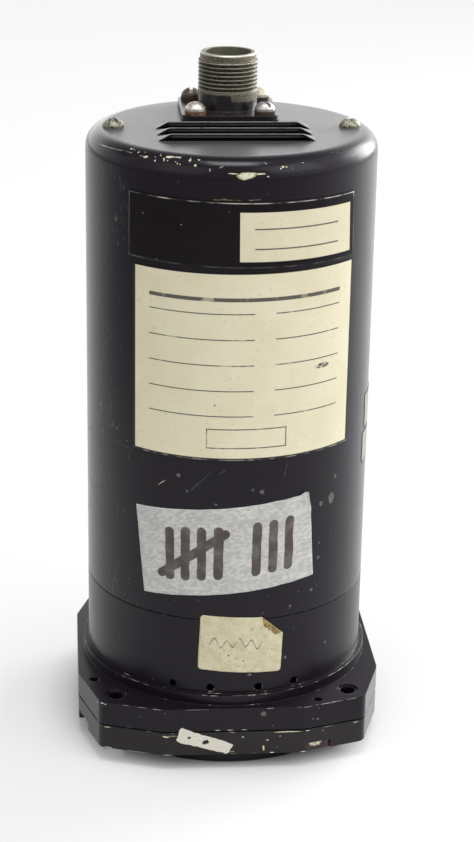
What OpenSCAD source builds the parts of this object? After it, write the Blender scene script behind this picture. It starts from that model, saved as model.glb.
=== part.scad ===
// Turn and slip indicator: an electric rate gyro drives a turn needle, and a ball in a
// curved tube shows slip. The instrument stands on its face, with the dial looking down.
// Millimetres. The origin is on the case axis at the foot of the glass ring, +Z points to the
// connector, and +Y is the dial's upward direction.

/* [Case] */
// Outer diameter of the rear can and of the housing that it closes
can_d = 76.2; // [74:0.1:79]
// Wall of the drawn can
can_wall = 1; // [0.6:0.1:1.6]
// Length of the can from its open edge to its closed end
can_len = 123.6; // [115:0.1:150]
// Rounding of the can's closed end
can_round = 5; // [3:0.5:6]
// Gap between the can's edge and the housing's shoulder
seam_gap = 0.3; // [0.1:0.1:1]
// Length of the housing's spigot inside the can
spigot_len = 9; // [5:0.5:14]
// Radial gap between the spigot and the can
spigot_clear = 0.1; // [0.05:0.01:0.3]

/* [Flange] */
// How far the flange's long flats stand out from the can
flange_rim = 3.2; // [2:0.1:6]
// Length of each long flat
flange_flat = 37; // [30:0.5:42]
// How far the flange's corners reach past those flats
corner_reach = 9.2; // [8:0.1:12]
// Rounding of the flange's corners
flange_round = 3; // [1:0.5:5]
// Thickness of the housing's flange
flange_t = 6.5; // [5:0.1:9]
// Thickness of the bezel plate
bezel_t = 6.6; // [6:0.1:9]
// Thickness of the gasket between flange and bezel
joint_t = 0.5; // [0.2:0.1:1]
// How far that gasket stays inside the flange's edge
joint_inset = 0.8; // [0.4:0.1:2]
// How far the pilot that centres the instrument in its panel stands out from the can
pilot_step = 1.4; // [1.2:0.1:2.4]
// Height of the pilot above the flange
pilot_h = 2.85; // [1.5:0.05:4]
// Length of plain housing between pilot and can
housing_len = 21.35; // [18:0.05:30]
// Wall of the housing
housing_wall = 3.5; // [3:0.1:4.5]
// How far outside the long flats the circle of the four panel screws runs
bolt_reach = 3.15; // [2:0.05:4]
// Diameter of the panel screw holes
bolt_hole_d = 4.1; // [3:0.1:5]
// Diameter of the spot face around each panel screw hole
spot_d = 5.6; // [5.2:0.1:7]
// Depth of that spot face
spot_h = 0.4; // [0.2:0.1:1]
// Diameter of the vents in the housing
vent_d = 2.2; // [1:0.1:3]
// Angle of the inner vents from the front
vent_inner_angle = 9.7; // [6:0.1:14]
// Angle of the outer vents from the front
vent_outer_angle = 25.3; // [20:0.1:40]

/* [Front glass] */
// How far the ring that holds the glass stands out from the can
ring_step = 0.4; // [0:0.1:1.8]
// Height of that ring below the bezel plate
ring_h = 4.3; // [3:0.1:6]
// Width of the glass's rim that the ring covers
window_rim = 3.8; // [3:0.1:6]
// How far the pocket that takes the glass lies inside the ring's edge
pocket_inset = 2.2; // [1.8:0.1:3]
// Length of the ring's neck inside the pocket
ring_neck = 2.2; // [1.5:0.1:2.4]
// Thickness of the glass
glass_t = 2.4; // [1.5:0.1:2.6]
// Thickness of the seal behind the glass
seal_t = 0.5; // [0.3:0.1:0.8]
// Radial gap of the glass, its seal and the ring's neck in the pocket
glass_clear = 0.1; // [0.05:0.05:0.3]
// Width of each spanner slot in the ring
spanner_w = 3; // [2:0.5:5]

/* [Bezel screws] */
// How far outside the long flats the circle of the bezel screws runs
bezel_reach = 2.1; // [1.5:0.05:2.6]
// Angle of each bezel screw from the middle of its flat
bezel_angle = 31.5; // [29:0.5:33]
// Diameter of the bezel screws
bezel_screw_d = 2.4; // [2:0.1:3]
// Diameter of their heads
bezel_head_d = 4.6; // [4:0.1:5.4]
// Height of their heads
bezel_head_h = 1.6; // [1.2:0.1:2]
// Width of the notch around each head
notch_w = 7; // [6:0.1:8]
// Height of that notch
notch_h = 2.4; // [2.2:0.1:3.2]

/* [Dial] */
// Depth of the dial's face behind the flange's front face
dial_depth = 2; // [1.8:0.1:3]
// Thickness of the dial
dial_t = 1; // [0.6:0.1:1.5]
// Radial gap of the dial and the front plate in the housing
dial_clear = 0.2; // [0.1:0.05:0.4]
// Thickness of the ledge between dial and mechanism
ledge_t = 3.5; // [3.5:0.1:5]
// Width of that ledge
ledge_w = 3.2; // [3:0.1:4]
// Length of the turn needle from its pivot
needle_len = 32; // [26:0.5:34]
// Width of the needle
needle_w = 2.6; // [1.5:0.1:4]
// Thickness of the needle
needle_t = 0.5; // [0.3:0.1:0.8]

/* [Inclinometer] */
// Radius of the curved tube's centre line
tube_bend_r = 50; // [45:1:60]
// Outer diameter of the tube
tube_d = 7.6; // [6.6:0.1:7.8]
// Wall of the tube
tube_wall = 0.6; // [0.4:0.05:0.8]
// Half of the angle that the tube spans
tube_half_angle = 24; // [22:0.5:25]
// Distance of the tube's lowest point below the case axis
tube_drop = 19; // [18:0.5:20]
// Radial gap between ball and tube
ball_clear = 0.2; // [0.1:0.05:0.3]
// Length of each end plug inside the tube
plug_len = 2.6; // [1.5:0.1:3]

/* [Gyro] */
// Diameter of the rotor
rotor_d = 44; // [38:0.5:45]
// Width of the rotor
rotor_w = 26; // [24:0.5:27]
// Rim thickness of the rotor
rotor_rim = 5; // [4:0.5:6]
// Thickness of the rotor's web
rotor_web = 4; // [3:0.5:5]
// Diameter of the rotor's shaft
rotor_shaft_d = 4; // [3:0.1:5]
// Space between the rotor and the gimbal's front and rear arms
rotor_space = 2; // [1:0.5:3]
// Space between the rotor and the gimbal's side arms
side_space = 5; // [4.5:0.5:6]
// Thickness of the gimbal's arms
gimbal_t = 5; // [4:0.5:5]
// Width of the gimbal's arms
gimbal_w = 16; // [13:0.5:17]
// Swing of the gimbal to each side
gimbal_swing = 18; // [12:1:20]
// Diameter of the gimbal's journals
journal_d = 5; // [3:0.1:6]
// Running gap of every journal and shaft, on the radius
run_clear = 0.03; // [0.02:0.01:0.06]

/* [Needle drive] */
// Module of the gear teeth
gear_module = 0.5; // [0.45:0.01:0.55]
// Teeth that the sector would have as a whole wheel
sector_teeth = 30; // [26:2:32]
// Teeth of the pinion
pinion_teeth = 12; // [12:2:14]
// Thickness of the sector
sector_t = 2.5; // [1.5:0.1:3]
// Thinning of each tooth flank
tooth_backlash = 0.04; // [0.03:0.005:0.06]
// Diameter of the needle's arbor
arbor_d = 2; // [1.6:0.1:2.2]

/* [Frame] */
// Thickness of the front and rear frame plates
plate_t = 3; // [2:0.1:4]
// Diameter of the rear frame plate
rear_plate_d = 70; // [68:0.5:72]
// Circle of the pillars between the plates
pillar_circle_d = 62; // [60:0.5:63]
// Diameter of the pillars
pillar_d = 5; // [4:0.1:6]
// Angle of the pillars from the X axis
pillar_angle = 60; // [54:1:66]
// Diameter of the frame screws
frame_screw_d = 2; // [1.6:0.1:2]
// Length of the frame screws under their heads
frame_screw_len = 5; // [4.5:0.1:5.4]
// Diameter of the small screws on the dial
dial_screw_d = 1.4; // [1:0.1:1.6]

/* [Damper and spring] */
// Space between the gimbal and the damper
damper_space = 1; // [0.6:0.1:3]
// Distance of the damper's drive pin from the gimbal axis
damper_arm_len = 14; // [13:0.5:15]
// Diameter of the drive pin
damper_pin_d = 2.4; // [2:0.1:2.8]
// Gap between the drive pin and its slot, each side
yoke_clear = 0.15; // [0.12:0.01:0.3]
// Diameter of the damper's piston
piston_d = 10; // [8:0.1:10.4]
// Length of the piston
piston_len = 4; // [3:0.1:5]
// Wall of the damper's cylinder
cylinder_wall = 1.2; // [0.8:0.1:1.4]
// Radial gap between piston and cylinder
piston_clear = 0.06; // [0.04:0.01:0.1]
// Outer diameter of the centring spring
spring_d = 4; // [3:0.1:5]
// Diameter of its wire
spring_wire_d = 0.5; // [0.3:0.05:0.5]
// Number of its coils
spring_coils = 12; // [8:1:12]

/* [Connector] */
// Distance of the connector's axis behind the case axis
conn_y = 16; // [15.5:0.1:17]
// Side of the connector's square flange
conn_flange_w = 25.4; // [24:0.1:26]
// Rounding of the flange's corners
conn_corner = 2.8; // [1:0.1:3.4]
// Thickness of the connector's flange
conn_flange_t = 1.4; // [1:0.1:2.5]
// Thickness of the gasket under it
conn_gasket_t = 0.5; // [0.3:0.1:2]
// Spacing of the connector's screws along each side
conn_screw_pitch = 18.26; // [18:0.01:18.6]
// Diameter of the connector's screws
conn_screw_d = 2.8; // [2.4:0.1:3]
// Diameter of the neck below the thread
neck_d = 15.8; // [14:0.1:16.4]
// Length of that neck
neck_len = 4.45; // [3:0.05:7]
// Outer diameter of the coupling thread
thread_d = 15.875; // [15:0.005:16.5]
// Pitch of the coupling thread
thread_pitch = 1.058; // [0.9:0.001:1.2]
// Number of thread crests
thread_count = 8; // [6:1:10]
// Diameter of the plain rim above the thread
rim_d = 14.9; // [14:0.1:15.5]
// Length of that rim
rim_len = 1.75; // [0.8:0.05:3]
// Diameter of the socket
socket_d = 12.4; // [11.5:0.1:12.6]
// Depth of the socket
socket_depth = 9; // [8:0.1:11]
// Length of the pins above the insert
pin_len = 4; // [3:0.1:4.6]
// Diameter of the pins
pin_d = 1.6; // [1.2:0.1:2]
// Length of the connector inside the can
conn_tail = 11; // [8:0.5:14]

/* [Louvres] */
// Number of louvres in the can's end
louvre_count = 3; // [1:1:3]
// Distance of the rearmost louvre's lip from the case axis, towards the front
louvre_first = 3; // [2.8:0.1:4]
// Spacing of the louvres
louvre_pitch = 7; // [6.5:0.1:7.4]
// Length of a louvre at its base
louvre_len = 40; // [34:0.5:44]
// Length of its lip
louvre_lip = 33; // [26:0.5:33]
// Height of its lip
louvre_h = 1.9; // [1.5:0.1:2.4]
// Depth of its hood from front to back
louvre_depth = 5; // [4:0.1:5.6]
// Thickness of its hood
louvre_t = 0.5; // [0.3:0.05:0.6]

/* [Can screws] */
// Distance of each can screw from the case axis
cover_screw_x = 30.8; // [30:0.1:31]
// Diameter of the can screws
cover_screw_d = 3; // [2.5:0.1:3.4]
// Diameter of their heads
cover_head_d = 5.6; // [5:0.1:5.8]
// Height of their heads
cover_head_h = 2.2; // [1.5:0.1:2.6]
// Diameter of the posts that they hold on to
post_d = 7; // [6:0.1:8]

/* [Plates on the can] */
// Thickness of the two foil plates
foil_t = 0.3; // [0.15:0.05:0.5]
// Angle of the plates' left edge from the front
foil_left = -44; // [-60:0.5:-30]
// Angle of the plates' right edge from the front
foil_right = 50; // [30:0.5:60]
// Height of the upper plate
upper_foil_h = 16.8; // [12:0.1:22]
// Height of the lower plate
lower_foil_h = 49.6; // [40:0.1:55]
// Distance of the upper plate below the can's closed end
upper_foil_drop = 10.8; // [9:0.1:16]
// Gap between the two plates
foil_gap = 1.1; // [0.5:0.1:4]

/* [Electrical parts] */
// Diameter of the filter capacitor
capacitor_d = 18; // [14:0.5:20]
// Length of the filter capacitor
capacitor_len = 36; // [25:1:40]
// Diameter of the filter choke
choke_d = 16; // [12:0.5:18]
// Length of the filter choke
choke_len = 20; // [14:0.5:26]
// Diameter of the leads
lead_d = 1.2; // [0.8:0.1:1.4]

/* [Hidden] */
$fn = 96;
// Overlap of every cut past the face that it opens
overcut = 0.5;
// Gap of a piece seated in another piece of the same body
seat_clear = 0.02;
// Gap of a screw in its hole
screw_clear = 0.1;
// Turn of one facet on a rounded corner
facet_turn = 9;

// Levels from the foot upwards
z_bezel = ring_h;
z_joint = z_bezel + bezel_t;
z_flange = z_joint + joint_t;
z_panel = z_flange + flange_t;
z_pilot = z_panel + pilot_h;
z_seam = z_pilot + housing_len;
z_can = z_seam + seam_gap;
z_top = z_can + can_len;
z_roof = z_top - can_wall;
z_glass = z_bezel + ring_neck;
z_seal = z_glass + glass_t;
z_shelf = z_seal + seal_t;
z_dial = z_flange + dial_depth;
z_ledge = z_dial + dial_t;
z_plate = z_ledge + ledge_t;
z_works = z_plate + plate_t;

// Case
can_r = can_d / 2;
flange_w = can_d + 2 * flange_rim;
flange_corner = flange_w + 2 * corner_reach;
pilot_d = can_d + 2 * pilot_step;
bolt_circle_d = flange_w + 2 * bolt_reach;
bezel_circle_d = flange_w + 2 * bezel_reach;
ring_d = can_d + 2 * ring_step;
pocket_d = ring_d - 2 * pocket_inset;
window_d = pocket_d - 2 * window_rim;
can_bore_r = can_r - can_wall;
housing_bore_r = can_r - housing_wall;
spigot_r = can_bore_r - spigot_clear;
bezel_screw_r = bezel_screw_d / 2;
bezel_head_room = notch_h - bezel_head_h;
// Depth of the threaded hole left open above each bezel screw
bezel_screw_short = 2;
pocket_r = pocket_d / 2;
window_r = window_d / 2;
notch_reach = 5.6;
vent_lift = 0.55;
spanner_depth = 1.6;
ring_chamfer = 0.6;
ledge_r = housing_bore_r - ledge_w;
dial_r = housing_bore_r - dial_clear;

// Connector
conn_seat_z = z_top + conn_gasket_t;
conn_deck_z = conn_seat_z + conn_flange_t;
thread_z = conn_deck_z + neck_len;
thread_depth = 0.6;
thread_end_z = thread_z + thread_count * thread_pitch;
rim_z = thread_end_z + rim_len;
rim_chamfer = 0.35;
socket_z = rim_z - socket_depth;
tail_z = z_roof - conn_tail;
tail_d = thread_d;
conn_hole_clear = 0.3;
insert_tail = 2;
solder_cup = 3;
pin_circle_r = 2.6;
pin_angles = [90, 210, 330];
conn_head_d = 5.3;
conn_head_h = 2.3;
// Side, front or rear, and slot direction of each connector screw
conn_slots = [[-1, -1, 25], [1, -1, -55], [-1, 1, 84], [1, 1, 20]];
washer_d = 5.6;
washer_t = 0.8;
nut_d = 5.4;
nut_h = 2;
// Thread that shows under each connector nut
nut_show = 0.8;

// Dial and needle drive
sector_r = gear_module * sector_teeth / 2;
pinion_r = gear_module * pinion_teeth / 2;
arbor_y = -(sector_r + pinion_r);
pressure_angle = 25;
sector_addendum = 0.9 * gear_module;
pinion_addendum = gear_module;
dedendum = 1.25 * gear_module;
flank_steps = 5;
sector_pairs = 3;
sector_hub = 1.5;
arbor_r = arbor_d / 2;
bush_wall = 1.5;
shoulder_gap = 0.3;
shoulder_r = journal_d / 2 + bush_wall;
sector_lift = 2.1;
z_sector = z_works + sector_lift;
pinion_over = 0.4;
z_bridge = z_sector + sector_t + pinion_over + shoulder_gap;
bridge_t = 1.2;
bridge_half = 8;
bridge_w = 5;
bridge_front = 3.5;
needle_room = 0.5;
hub_h = 1.6;
hub_r = 2.4;
z_hub = z_dial - needle_room - hub_h;
z_needle = z_hub + (hub_h - needle_t) / 2;
arbor_nose = 0.3;
dial_hole_clear = 0.8;
dial_hole_r = arbor_r + dial_hole_clear;

// Inclinometer, in polar form about the tube's centre of curvature
tube_centre_y = tube_bend_r - tube_drop;
tube_r = tube_d / 2;
tube_bore_r = tube_r - tube_wall;
ball_r = tube_bore_r - ball_clear;
// The tube clears the glass seal by half of the seal's thickness
z_tube = z_seal + seal_t + tube_r;
window_clear = 0.9;
plug_angle = plug_len / tube_bend_r * 180 / PI;
plug_head = 1;
plug_head_angle = plug_head / tube_bend_r * 180 / PI;
clip_angle = 4;
clip_place = 19;
clip_t = 0.35;
clip_foot = 3.4;
clip_clear = 0.05;
wire_d = 0.5;
wire_place = 5;

// Gyro
rotor_r = rotor_d / 2;
bridge_room = 0.7;
z_gimbal = z_bridge + bridge_t + bridge_room;
gimbal_in_z = rotor_r + rotor_space;
gimbal_in_x = rotor_w / 2 + side_space;
gimbal_out_x = gimbal_in_x + gimbal_t;
gimbal_h = 2 * (gimbal_in_z + gimbal_t);
z_rotor = z_gimbal + gimbal_h / 2;
z_gimbal_top = z_gimbal + gimbal_h;
pivot_r = 3;
rotor_shaft_r = rotor_shaft_d / 2;
bearing_r = 5;
field_gap = 1.5;
field_r = rotor_r - rotor_rim - field_gap;
field_wall = 3.5;
field_bore_r = field_r - field_wall;
armature_gap = 1;
armature_r = field_bore_r - armature_gap;
armature_len = 12;
web_x = rotor_w / 2 - rotor_web;
commutator_r = 4.5;
commutator_x = -11.5;
commutator_len = 4;
brush_gap = 0.15;
brush_w = 2.8;
brush_len = 5;
brush_fit = 0.1;
holder_w = 5;
holder_t = 2;
holder_low = 6.5;
holder_clear = 0.4;

// Damper and spring
arm_t = 2.5;
arm_w = 4;
arm_hub_r = shoulder_r + 2.5;
yoke_gap = 0.5;
damper_stroke = damper_arm_len * gimbal_swing * PI / 180;
stroke_room = 0.6;
yoke_half = 3;
yoke_depth = 8;
yoke_h = 4;
rod_d = 2.4;
cylinder_bore_r = piston_d / 2 + piston_clear;
cylinder_r = cylinder_bore_r + cylinder_wall;
z_damper = z_gimbal_top + damper_space + cylinder_r;
z_arm = z_damper - yoke_h / 2 - yoke_gap - arm_t;
cylinder_x0 = yoke_half + damper_stroke + stroke_room;
piston_x = cylinder_x0 + cylinder_wall + stroke_room + damper_stroke;
cylinder_x1 = piston_x + piston_len + damper_stroke + stroke_room + cylinder_wall;
damper_foot_w = 8;
damper_screw_inset = 4;
spring_pin_d = 1.6;
spring_pin_y = -(arm_hub_r + 2.5);
anchor_y = -27;
anchor_d = 3;
spring_r = (spring_d - spring_wire_d) / 2;
spring_y0 = spring_pin_y - spring_pin_d / 2;
spring_y1 = anchor_y + anchor_d / 2;
spring_lead = 1.5;
rings_per_coil = 8;
wire_sides = 6;
lead_sides = 8;
curve_steps = 4;
lead_steps = 16;

// Frame
// Metal left between the damper's screws and its bore
damper_spare = 1;
z_rear = z_damper + cylinder_bore_r + frame_screw_len - plate_t + damper_spare;
z_deck = z_rear + plate_t;
pillar_r = pillar_d / 2;
pillar_circle_r = pillar_circle_d / 2;
pillar_angles = [pillar_angle, 180 - pillar_angle, 180 + pillar_angle, -pillar_angle];
plate_screw_angles = [45, 135, 225, 315];
plate_screw_r = housing_bore_r - ledge_w / 2;
frame_head_d = 3.2;
frame_head_h = 1.2;
frame_screw_r = frame_screw_d / 2;
stop_d = 3;
stop_x = 18;
stop_margin = 0.5;
stop_turn = gimbal_swing + stop_margin;
stop_y = -((gimbal_w + stop_d) / 2 / cos(stop_turn) + stop_x * tan(stop_turn));
stop_tip_z = z_gimbal + gimbal_t - 2;

// Cover posts and electrical parts
post_r = post_d / 2;
post_spigot_d = 4;
cover_grip = 9;
part_x = 14;
part_y = -14;
board_l = 30;
board_w = 8;
board_t = 3;
board_room = 1;
board_y = damper_arm_len + frame_head_d / 2 + board_room + board_w / 2;
terminal_xs = [-12, -4, 4, 12];
terminal_d = 2.4;
terminal_h = 6;
terminal_nut_d = 4;
terminal_nut_h = 1.2;
flex_x = 11;
flex_y = -3;
flex_bow = 2;
// Straight stretch of a lead at each end
lead_straight = 1.5;

// Colours
paint_black = "#1d1b20";
alloy = "#b9bbbd";
brass = "#b08d4a";
steel = "#8f9296";
olive_metal = "#6d6a5c";
foil_black = "#222024";
foil_cream = "#cfc9b4";
phenolic = "#5a3a22";
rubber_black = "#202020";
copper = "#a8643a";

// Shared shapes
module ring(outer_r, inner_r, h) {
    difference() {
        cylinder(r = outer_r, h = h);
        translate([0, 0, -overcut])
            cylinder(r = inner_r, h = h + 2 * overcut);
    }
}

module around(radius, angles) {
    for (a = angles)
        rotate([0, 0, a])
            translate([radius, 0, 0])
                children();
}

// A hole through everything between two levels
module hole(r, z0, z1) {
    translate([0, 0, z0 - overcut])
        cylinder(r = r, h = z1 - z0 + 2 * overcut);
}

// A screw with its seat at the origin, its head up and its shank down
module screw(d, len, head_d, head_h) {
    slot_w = head_d / 6;
    slot_depth = head_h * 0.45;
    dome_r = (head_d * head_d / 4 + head_h * head_h) / (2 * head_h) * 1.12;
    difference() {
        intersection() {
            cylinder(d = head_d, h = head_h);
            translate([0, 0, head_h - dome_r])
                sphere(r = dome_r);
        }
        translate([-head_d, -slot_w / 2, head_h - slot_depth])
            cube([2 * head_d, slot_w, head_h]);
    }
    translate([0, 0, -len])
        cylinder(d = d, h = len + head_h / 4);
}

// Runs along the X axis instead of Z
module along_x() {
    rotate([0, 90, 0])
        children();
}

// A stretch of a body turned about the inclinometer's centre of curvature, centred on an angle
module tube_arc(middle, span) {
    translate([0, tube_centre_y, z_tube])
        rotate([0, 0, middle - span / 2 - 90])
            rotate_extrude(angle = span)
                translate([tube_bend_r, 0])
                    children();
}

// Outline of flange and bezel
function unit(v) = v / norm(v);

function corner_arc(a, b, c, r) =
    let (
        u = unit(a - b),
        v = unit(c - b),
        half = acos(u * v) / 2,
        centre = b + unit(u + v) * r / sin(half),
        first = b + u * r / tan(half) - centre,
        start = atan2(first[1], first[0]),
        turn = 180 - 2 * half,
        steps = max(1, round(turn / facet_turn))
    )
    [for (i = [0 : steps]) centre + r * [cos(start + turn * i / steps), sin(start + turn * i / steps)]];

function rounded(points, r) =
    let (n = len(points))
    [for (i = [0 : n - 1]) each corner_arc(points[(i + n - 1) % n], points[i], points[(i + 1) % n], r)];

function turned(p, a) = [p[0] * cos(a) - p[1] * sin(a), p[0] * sin(a) + p[1] * cos(a)];

function flange_outline(inset) =
    let (
        flat = flange_w / 2 - inset,
        corner = (flange_corner / 2 - inset) / sqrt(2),
        quarter = [[flat, -flange_flat / 2], [flat, flange_flat / 2], [corner, corner]]
    )
    rounded([for (k = [0 : 3]) for (p = quarter) turned(p, 90 * k)], flange_round);

module flange_plate(inset, z0, h) {
    translate([0, 0, z0])
        linear_extrude(h)
            polygon(flange_outline(inset));
}

module at_panel_screws() {
    around(bolt_circle_d / 2, [45, 135, 225, 315])
        children();
}

module at_bezel_screws() {
    for (k = [0 : 3])
        rotate([0, 0, 90 * k])
            translate([bezel_circle_d / 2 * sin(bezel_angle), -bezel_circle_d / 2 * cos(bezel_angle), 0])
                children();
}

// Front of the case
module glass_ring() {
    neck_r = pocket_r - glass_clear;
    color(paint_black)
        difference() {
            rotate_extrude()
                polygon([
                    [window_r, 0], [ring_d / 2 - ring_chamfer, 0], [ring_d / 2, ring_chamfer],
                    [ring_d / 2, z_bezel], [neck_r, z_bezel], [neck_r, z_glass], [window_r, z_glass]
                ]);
            for (a = [45, 135])
                rotate([0, 0, a])
                    translate([-window_r - spanner_depth, -spanner_w / 2, -overcut])
                        cube([2 * (window_r + spanner_depth), spanner_w, spanner_depth + overcut]);
        }
}

module bezel_plate() {
    color(paint_black)
        difference() {
            flange_plate(0, z_bezel, bezel_t);
            hole(pocket_r, z_bezel, z_shelf - overcut);
            hole(window_r + glass_clear, z_shelf, z_joint);
            at_panel_screws()
                hole(bolt_hole_d / 2, z_bezel, z_joint);
            at_bezel_screws() {
                hole(bezel_screw_r + screw_clear, z_bezel, z_joint);
                translate([-notch_w / 2, -2 * notch_reach, z_bezel - overcut])
                    cube([notch_w, 2 * notch_reach + bezel_head_d / 2 + screw_clear, notch_h + overcut]);
            }
        }
}

module cover_glass() {
    color("#cfe0e2", 0.35)
        translate([0, 0, z_glass])
            cylinder(r = pocket_r - glass_clear, h = glass_t);
}

module glass_seal() {
    color(rubber_black)
        translate([0, 0, z_seal])
            ring(pocket_r - glass_clear, window_r + glass_clear, seal_t);
}

module bezel_screws() {
    seat_z = z_bezel + notch_h;
    color("#5b2f28")
        at_bezel_screws()
            translate([0, 0, seat_z])
                mirror([0, 0, 1])
                    screw(bezel_screw_d, z_panel - bezel_screw_short - seat_z, bezel_head_d, bezel_head_h);
}

module joint_gasket() {
    color(rubber_black)
        difference() {
            flange_plate(joint_inset, z_joint, joint_t);
            hole(housing_bore_r, z_joint, z_flange);
            at_panel_screws()
                hole(bolt_hole_d / 2 + screw_clear, z_joint, z_flange);
            at_bezel_screws()
                hole(bezel_screw_r + screw_clear, z_joint, z_flange);
        }
}

module front_housing() {
    spigot_z = z_seam + spigot_len;
    color(paint_black)
        difference() {
            union() {
                flange_plate(0, z_flange, flange_t);
                cylinder_between(pilot_d / 2, z_flange, z_pilot);
                cylinder_between(can_r, z_flange, z_seam);
                cylinder_between(spigot_r, z_flange, spigot_z);
            }
            hole(ledge_r, z_flange, spigot_z);
            hole(housing_bore_r, z_flange, z_ledge - overcut);
            hole(housing_bore_r, z_plate + overcut, spigot_z);
            at_panel_screws() {
                hole(bolt_hole_d / 2, z_flange, z_panel);
                translate([0, 0, z_panel - spot_h])
                    cylinder(d = spot_d, h = spot_h + overcut);
            }
            at_bezel_screws()
                hole(bezel_screw_r + seat_clear, z_flange, z_panel);
            around(plate_screw_r, plate_screw_angles)
                hole(frame_screw_r + seat_clear, z_ledge, z_plate);
            around(plate_screw_r, [0, 180])
                hole(dial_screw_d / 2 + seat_clear, z_ledge, z_plate);
            for (a = [-vent_outer_angle, -vent_inner_angle, vent_inner_angle, vent_outer_angle])
                rotate([0, 0, a])
                    translate([0, -ledge_r, z_pilot + vent_d / 2 + vent_lift])
                        rotate([90, 0, 0])
                            cylinder(d = vent_d, h = can_r);
        }
}

module cylinder_between(r, z0, z1) {
    translate([0, 0, z0])
        cylinder(r = r, h = z1 - z0);
}

// Rear can
module can_profile(r, top, round_r) {
    square([r - round_r, top]);
    square([r, top - round_r]);
    translate([r - round_r, top - round_r])
        circle(r = round_r);
}

// The solid under one hood, with its lip on the X axis and its slope running to +Y
module louvre_wedge(len, lip, h, depth, below) {
    intersection() {
        translate([-len / 2, 0, 0])
            rotate([90, 0, 90])
                linear_extrude(len)
                    polygon([[0, -below], [0, h], [depth, 0], [depth, -below]]);
        translate([0, depth, 0])
            rotate([90, 0, 0])
                linear_extrude(depth)
                    polygon([
                        [-len / 2, -below], [len / 2, -below], [len / 2, 0],
                        [lip / 2, h], [-lip / 2, h], [-len / 2, 0]
                    ]);
    }
}

module at_louvres() {
    for (i = [0 : louvre_count - 1])
        translate([0, -louvre_first - i * louvre_pitch, z_top])
            children();
}

module at_conn_screws() {
    for (sx = [-1, 1], sy = [-1, 1])
        translate([sx * conn_screw_pitch / 2, conn_y + sy * conn_screw_pitch / 2, 0])
            children();
}

module case_can() {
    hood_in = louvre_depth * (1 - louvre_t / louvre_h);
    color(paint_black)
        difference() {
            union() {
                difference() {
                    rotate_extrude()
                        difference() {
                            can_profile(can_r, z_top, can_round);
                            can_profile(can_bore_r, z_roof, can_round - can_wall);
                            square([can_d, z_can]);
                        }
                }
                at_louvres()
                    louvre_wedge(louvre_len, louvre_lip, louvre_h, louvre_depth, can_wall / 2);
            }
            at_louvres()
                translate([0, -overcut / 4, 0])
                    louvre_wedge(louvre_len - 4 * louvre_t, louvre_lip - 2 * louvre_t,
                        louvre_h - louvre_t, hood_in, can_wall + overcut);
            for (sx = [-1, 1])
                translate([sx * cover_screw_x, 0, 0])
                    hole(cover_screw_d / 2 + screw_clear, z_roof, z_top);
            translate([0, conn_y, 0])
                hole(tail_d / 2 + conn_hole_clear, z_roof, z_top);
            at_conn_screws()
                hole(conn_screw_d / 2 + screw_clear, z_roof, z_top);
        }
}

module cover_screws() {
    color("#b7bda4")
        for (sx = [-1, 1])
            translate([sx * cover_screw_x, 0, z_top])
                rotate([0, 0, 60 * sx])
                    screw(cover_screw_d, can_wall + cover_grip, cover_head_d, cover_head_h);
}

module cover_posts() {
    color(alloy)
        intersection() {
            for (sx = [-1, 1])
                translate([sx * cover_screw_x, 0, 0])
                    difference() {
                        union() {
                            cylinder_between(post_r, z_deck, z_roof);
                            cylinder_between(post_spigot_d / 2, z_rear, z_roof);
                        }
                        hole(cover_screw_d / 2 + seat_clear, z_roof - cover_grip, z_roof);
                    }
            rotate_extrude()
                can_profile(can_bore_r - spigot_clear, z_roof, can_round - can_wall);
        }
}

module foil(z0, h) {
    translate([0, 0, z0])
        rotate([0, 0, foil_left - 90])
            rotate_extrude(angle = foil_right - foil_left)
                translate([can_r, 0])
                    square([foil_t, h]);
}

module upper_foil() {
    color(foil_black)
        foil(z_top - upper_foil_drop - upper_foil_h, upper_foil_h);
}

module lower_foil() {
    color(foil_cream)
        foil(z_top - upper_foil_drop - upper_foil_h - foil_gap - lower_foil_h, lower_foil_h);
}

// Connector
module conn_square(w, corner, h) {
    a = w / 2;
    linear_extrude(h)
        polygon(rounded([[a, -a], [a, a], [-a, a], [-a, -a]], corner));
}

module connector_shell() {
    crest_r = thread_d / 2;
    root_r = crest_r - thread_depth;
    rim_r = rim_d / 2;
    crests = [for (i = [0 : thread_count - 1]) each [
        [root_r, thread_z + i * thread_pitch],
        [crest_r, thread_z + (i + 0.4) * thread_pitch],
        [crest_r, thread_z + (i + 0.6) * thread_pitch]
    ]];
    color(olive_metal)
        translate([0, conn_y, 0])
            difference() {
                union() {
                    translate([0, 0, conn_seat_z])
                        conn_square(conn_flange_w, conn_corner, conn_flange_t);
                    cylinder_between(neck_d / 2, conn_seat_z, thread_z + thread_pitch / 4);
                    cylinder_between(tail_d / 2, tail_z, conn_seat_z + conn_flange_t / 2);
                    rotate_extrude()
                        polygon(concat(
                            [[0, thread_z]],
                            crests,
                            [[root_r, thread_end_z], [rim_r, thread_end_z]],
                            [[rim_r, rim_z - rim_chamfer], [rim_r - rim_chamfer, rim_z], [0, rim_z]]
                        ));
                }
                hole(socket_d / 2, tail_z, rim_z);
                for (sx = [-1, 1], sy = [-1, 1])
                    translate([sx * conn_screw_pitch / 2, sy * conn_screw_pitch / 2, 0])
                        hole(conn_screw_d / 2 + screw_clear, conn_seat_z, conn_deck_z);
            }
}

module connector_insert() {
    color(rubber_black)
        translate([0, conn_y, 0])
            difference() {
                cylinder_between(socket_d / 2 - seat_clear, tail_z + insert_tail, socket_z);
                around(pin_circle_r, pin_angles)
                    hole(pin_d / 2 + seat_clear, tail_z, socket_z);
            }
}

module connector_pins() {
    color(brass)
        translate([0, conn_y, 0])
            around(pin_circle_r, pin_angles)
                cylinder_between(pin_d / 2, tail_z - solder_cup, socket_z + pin_len);
}

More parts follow.
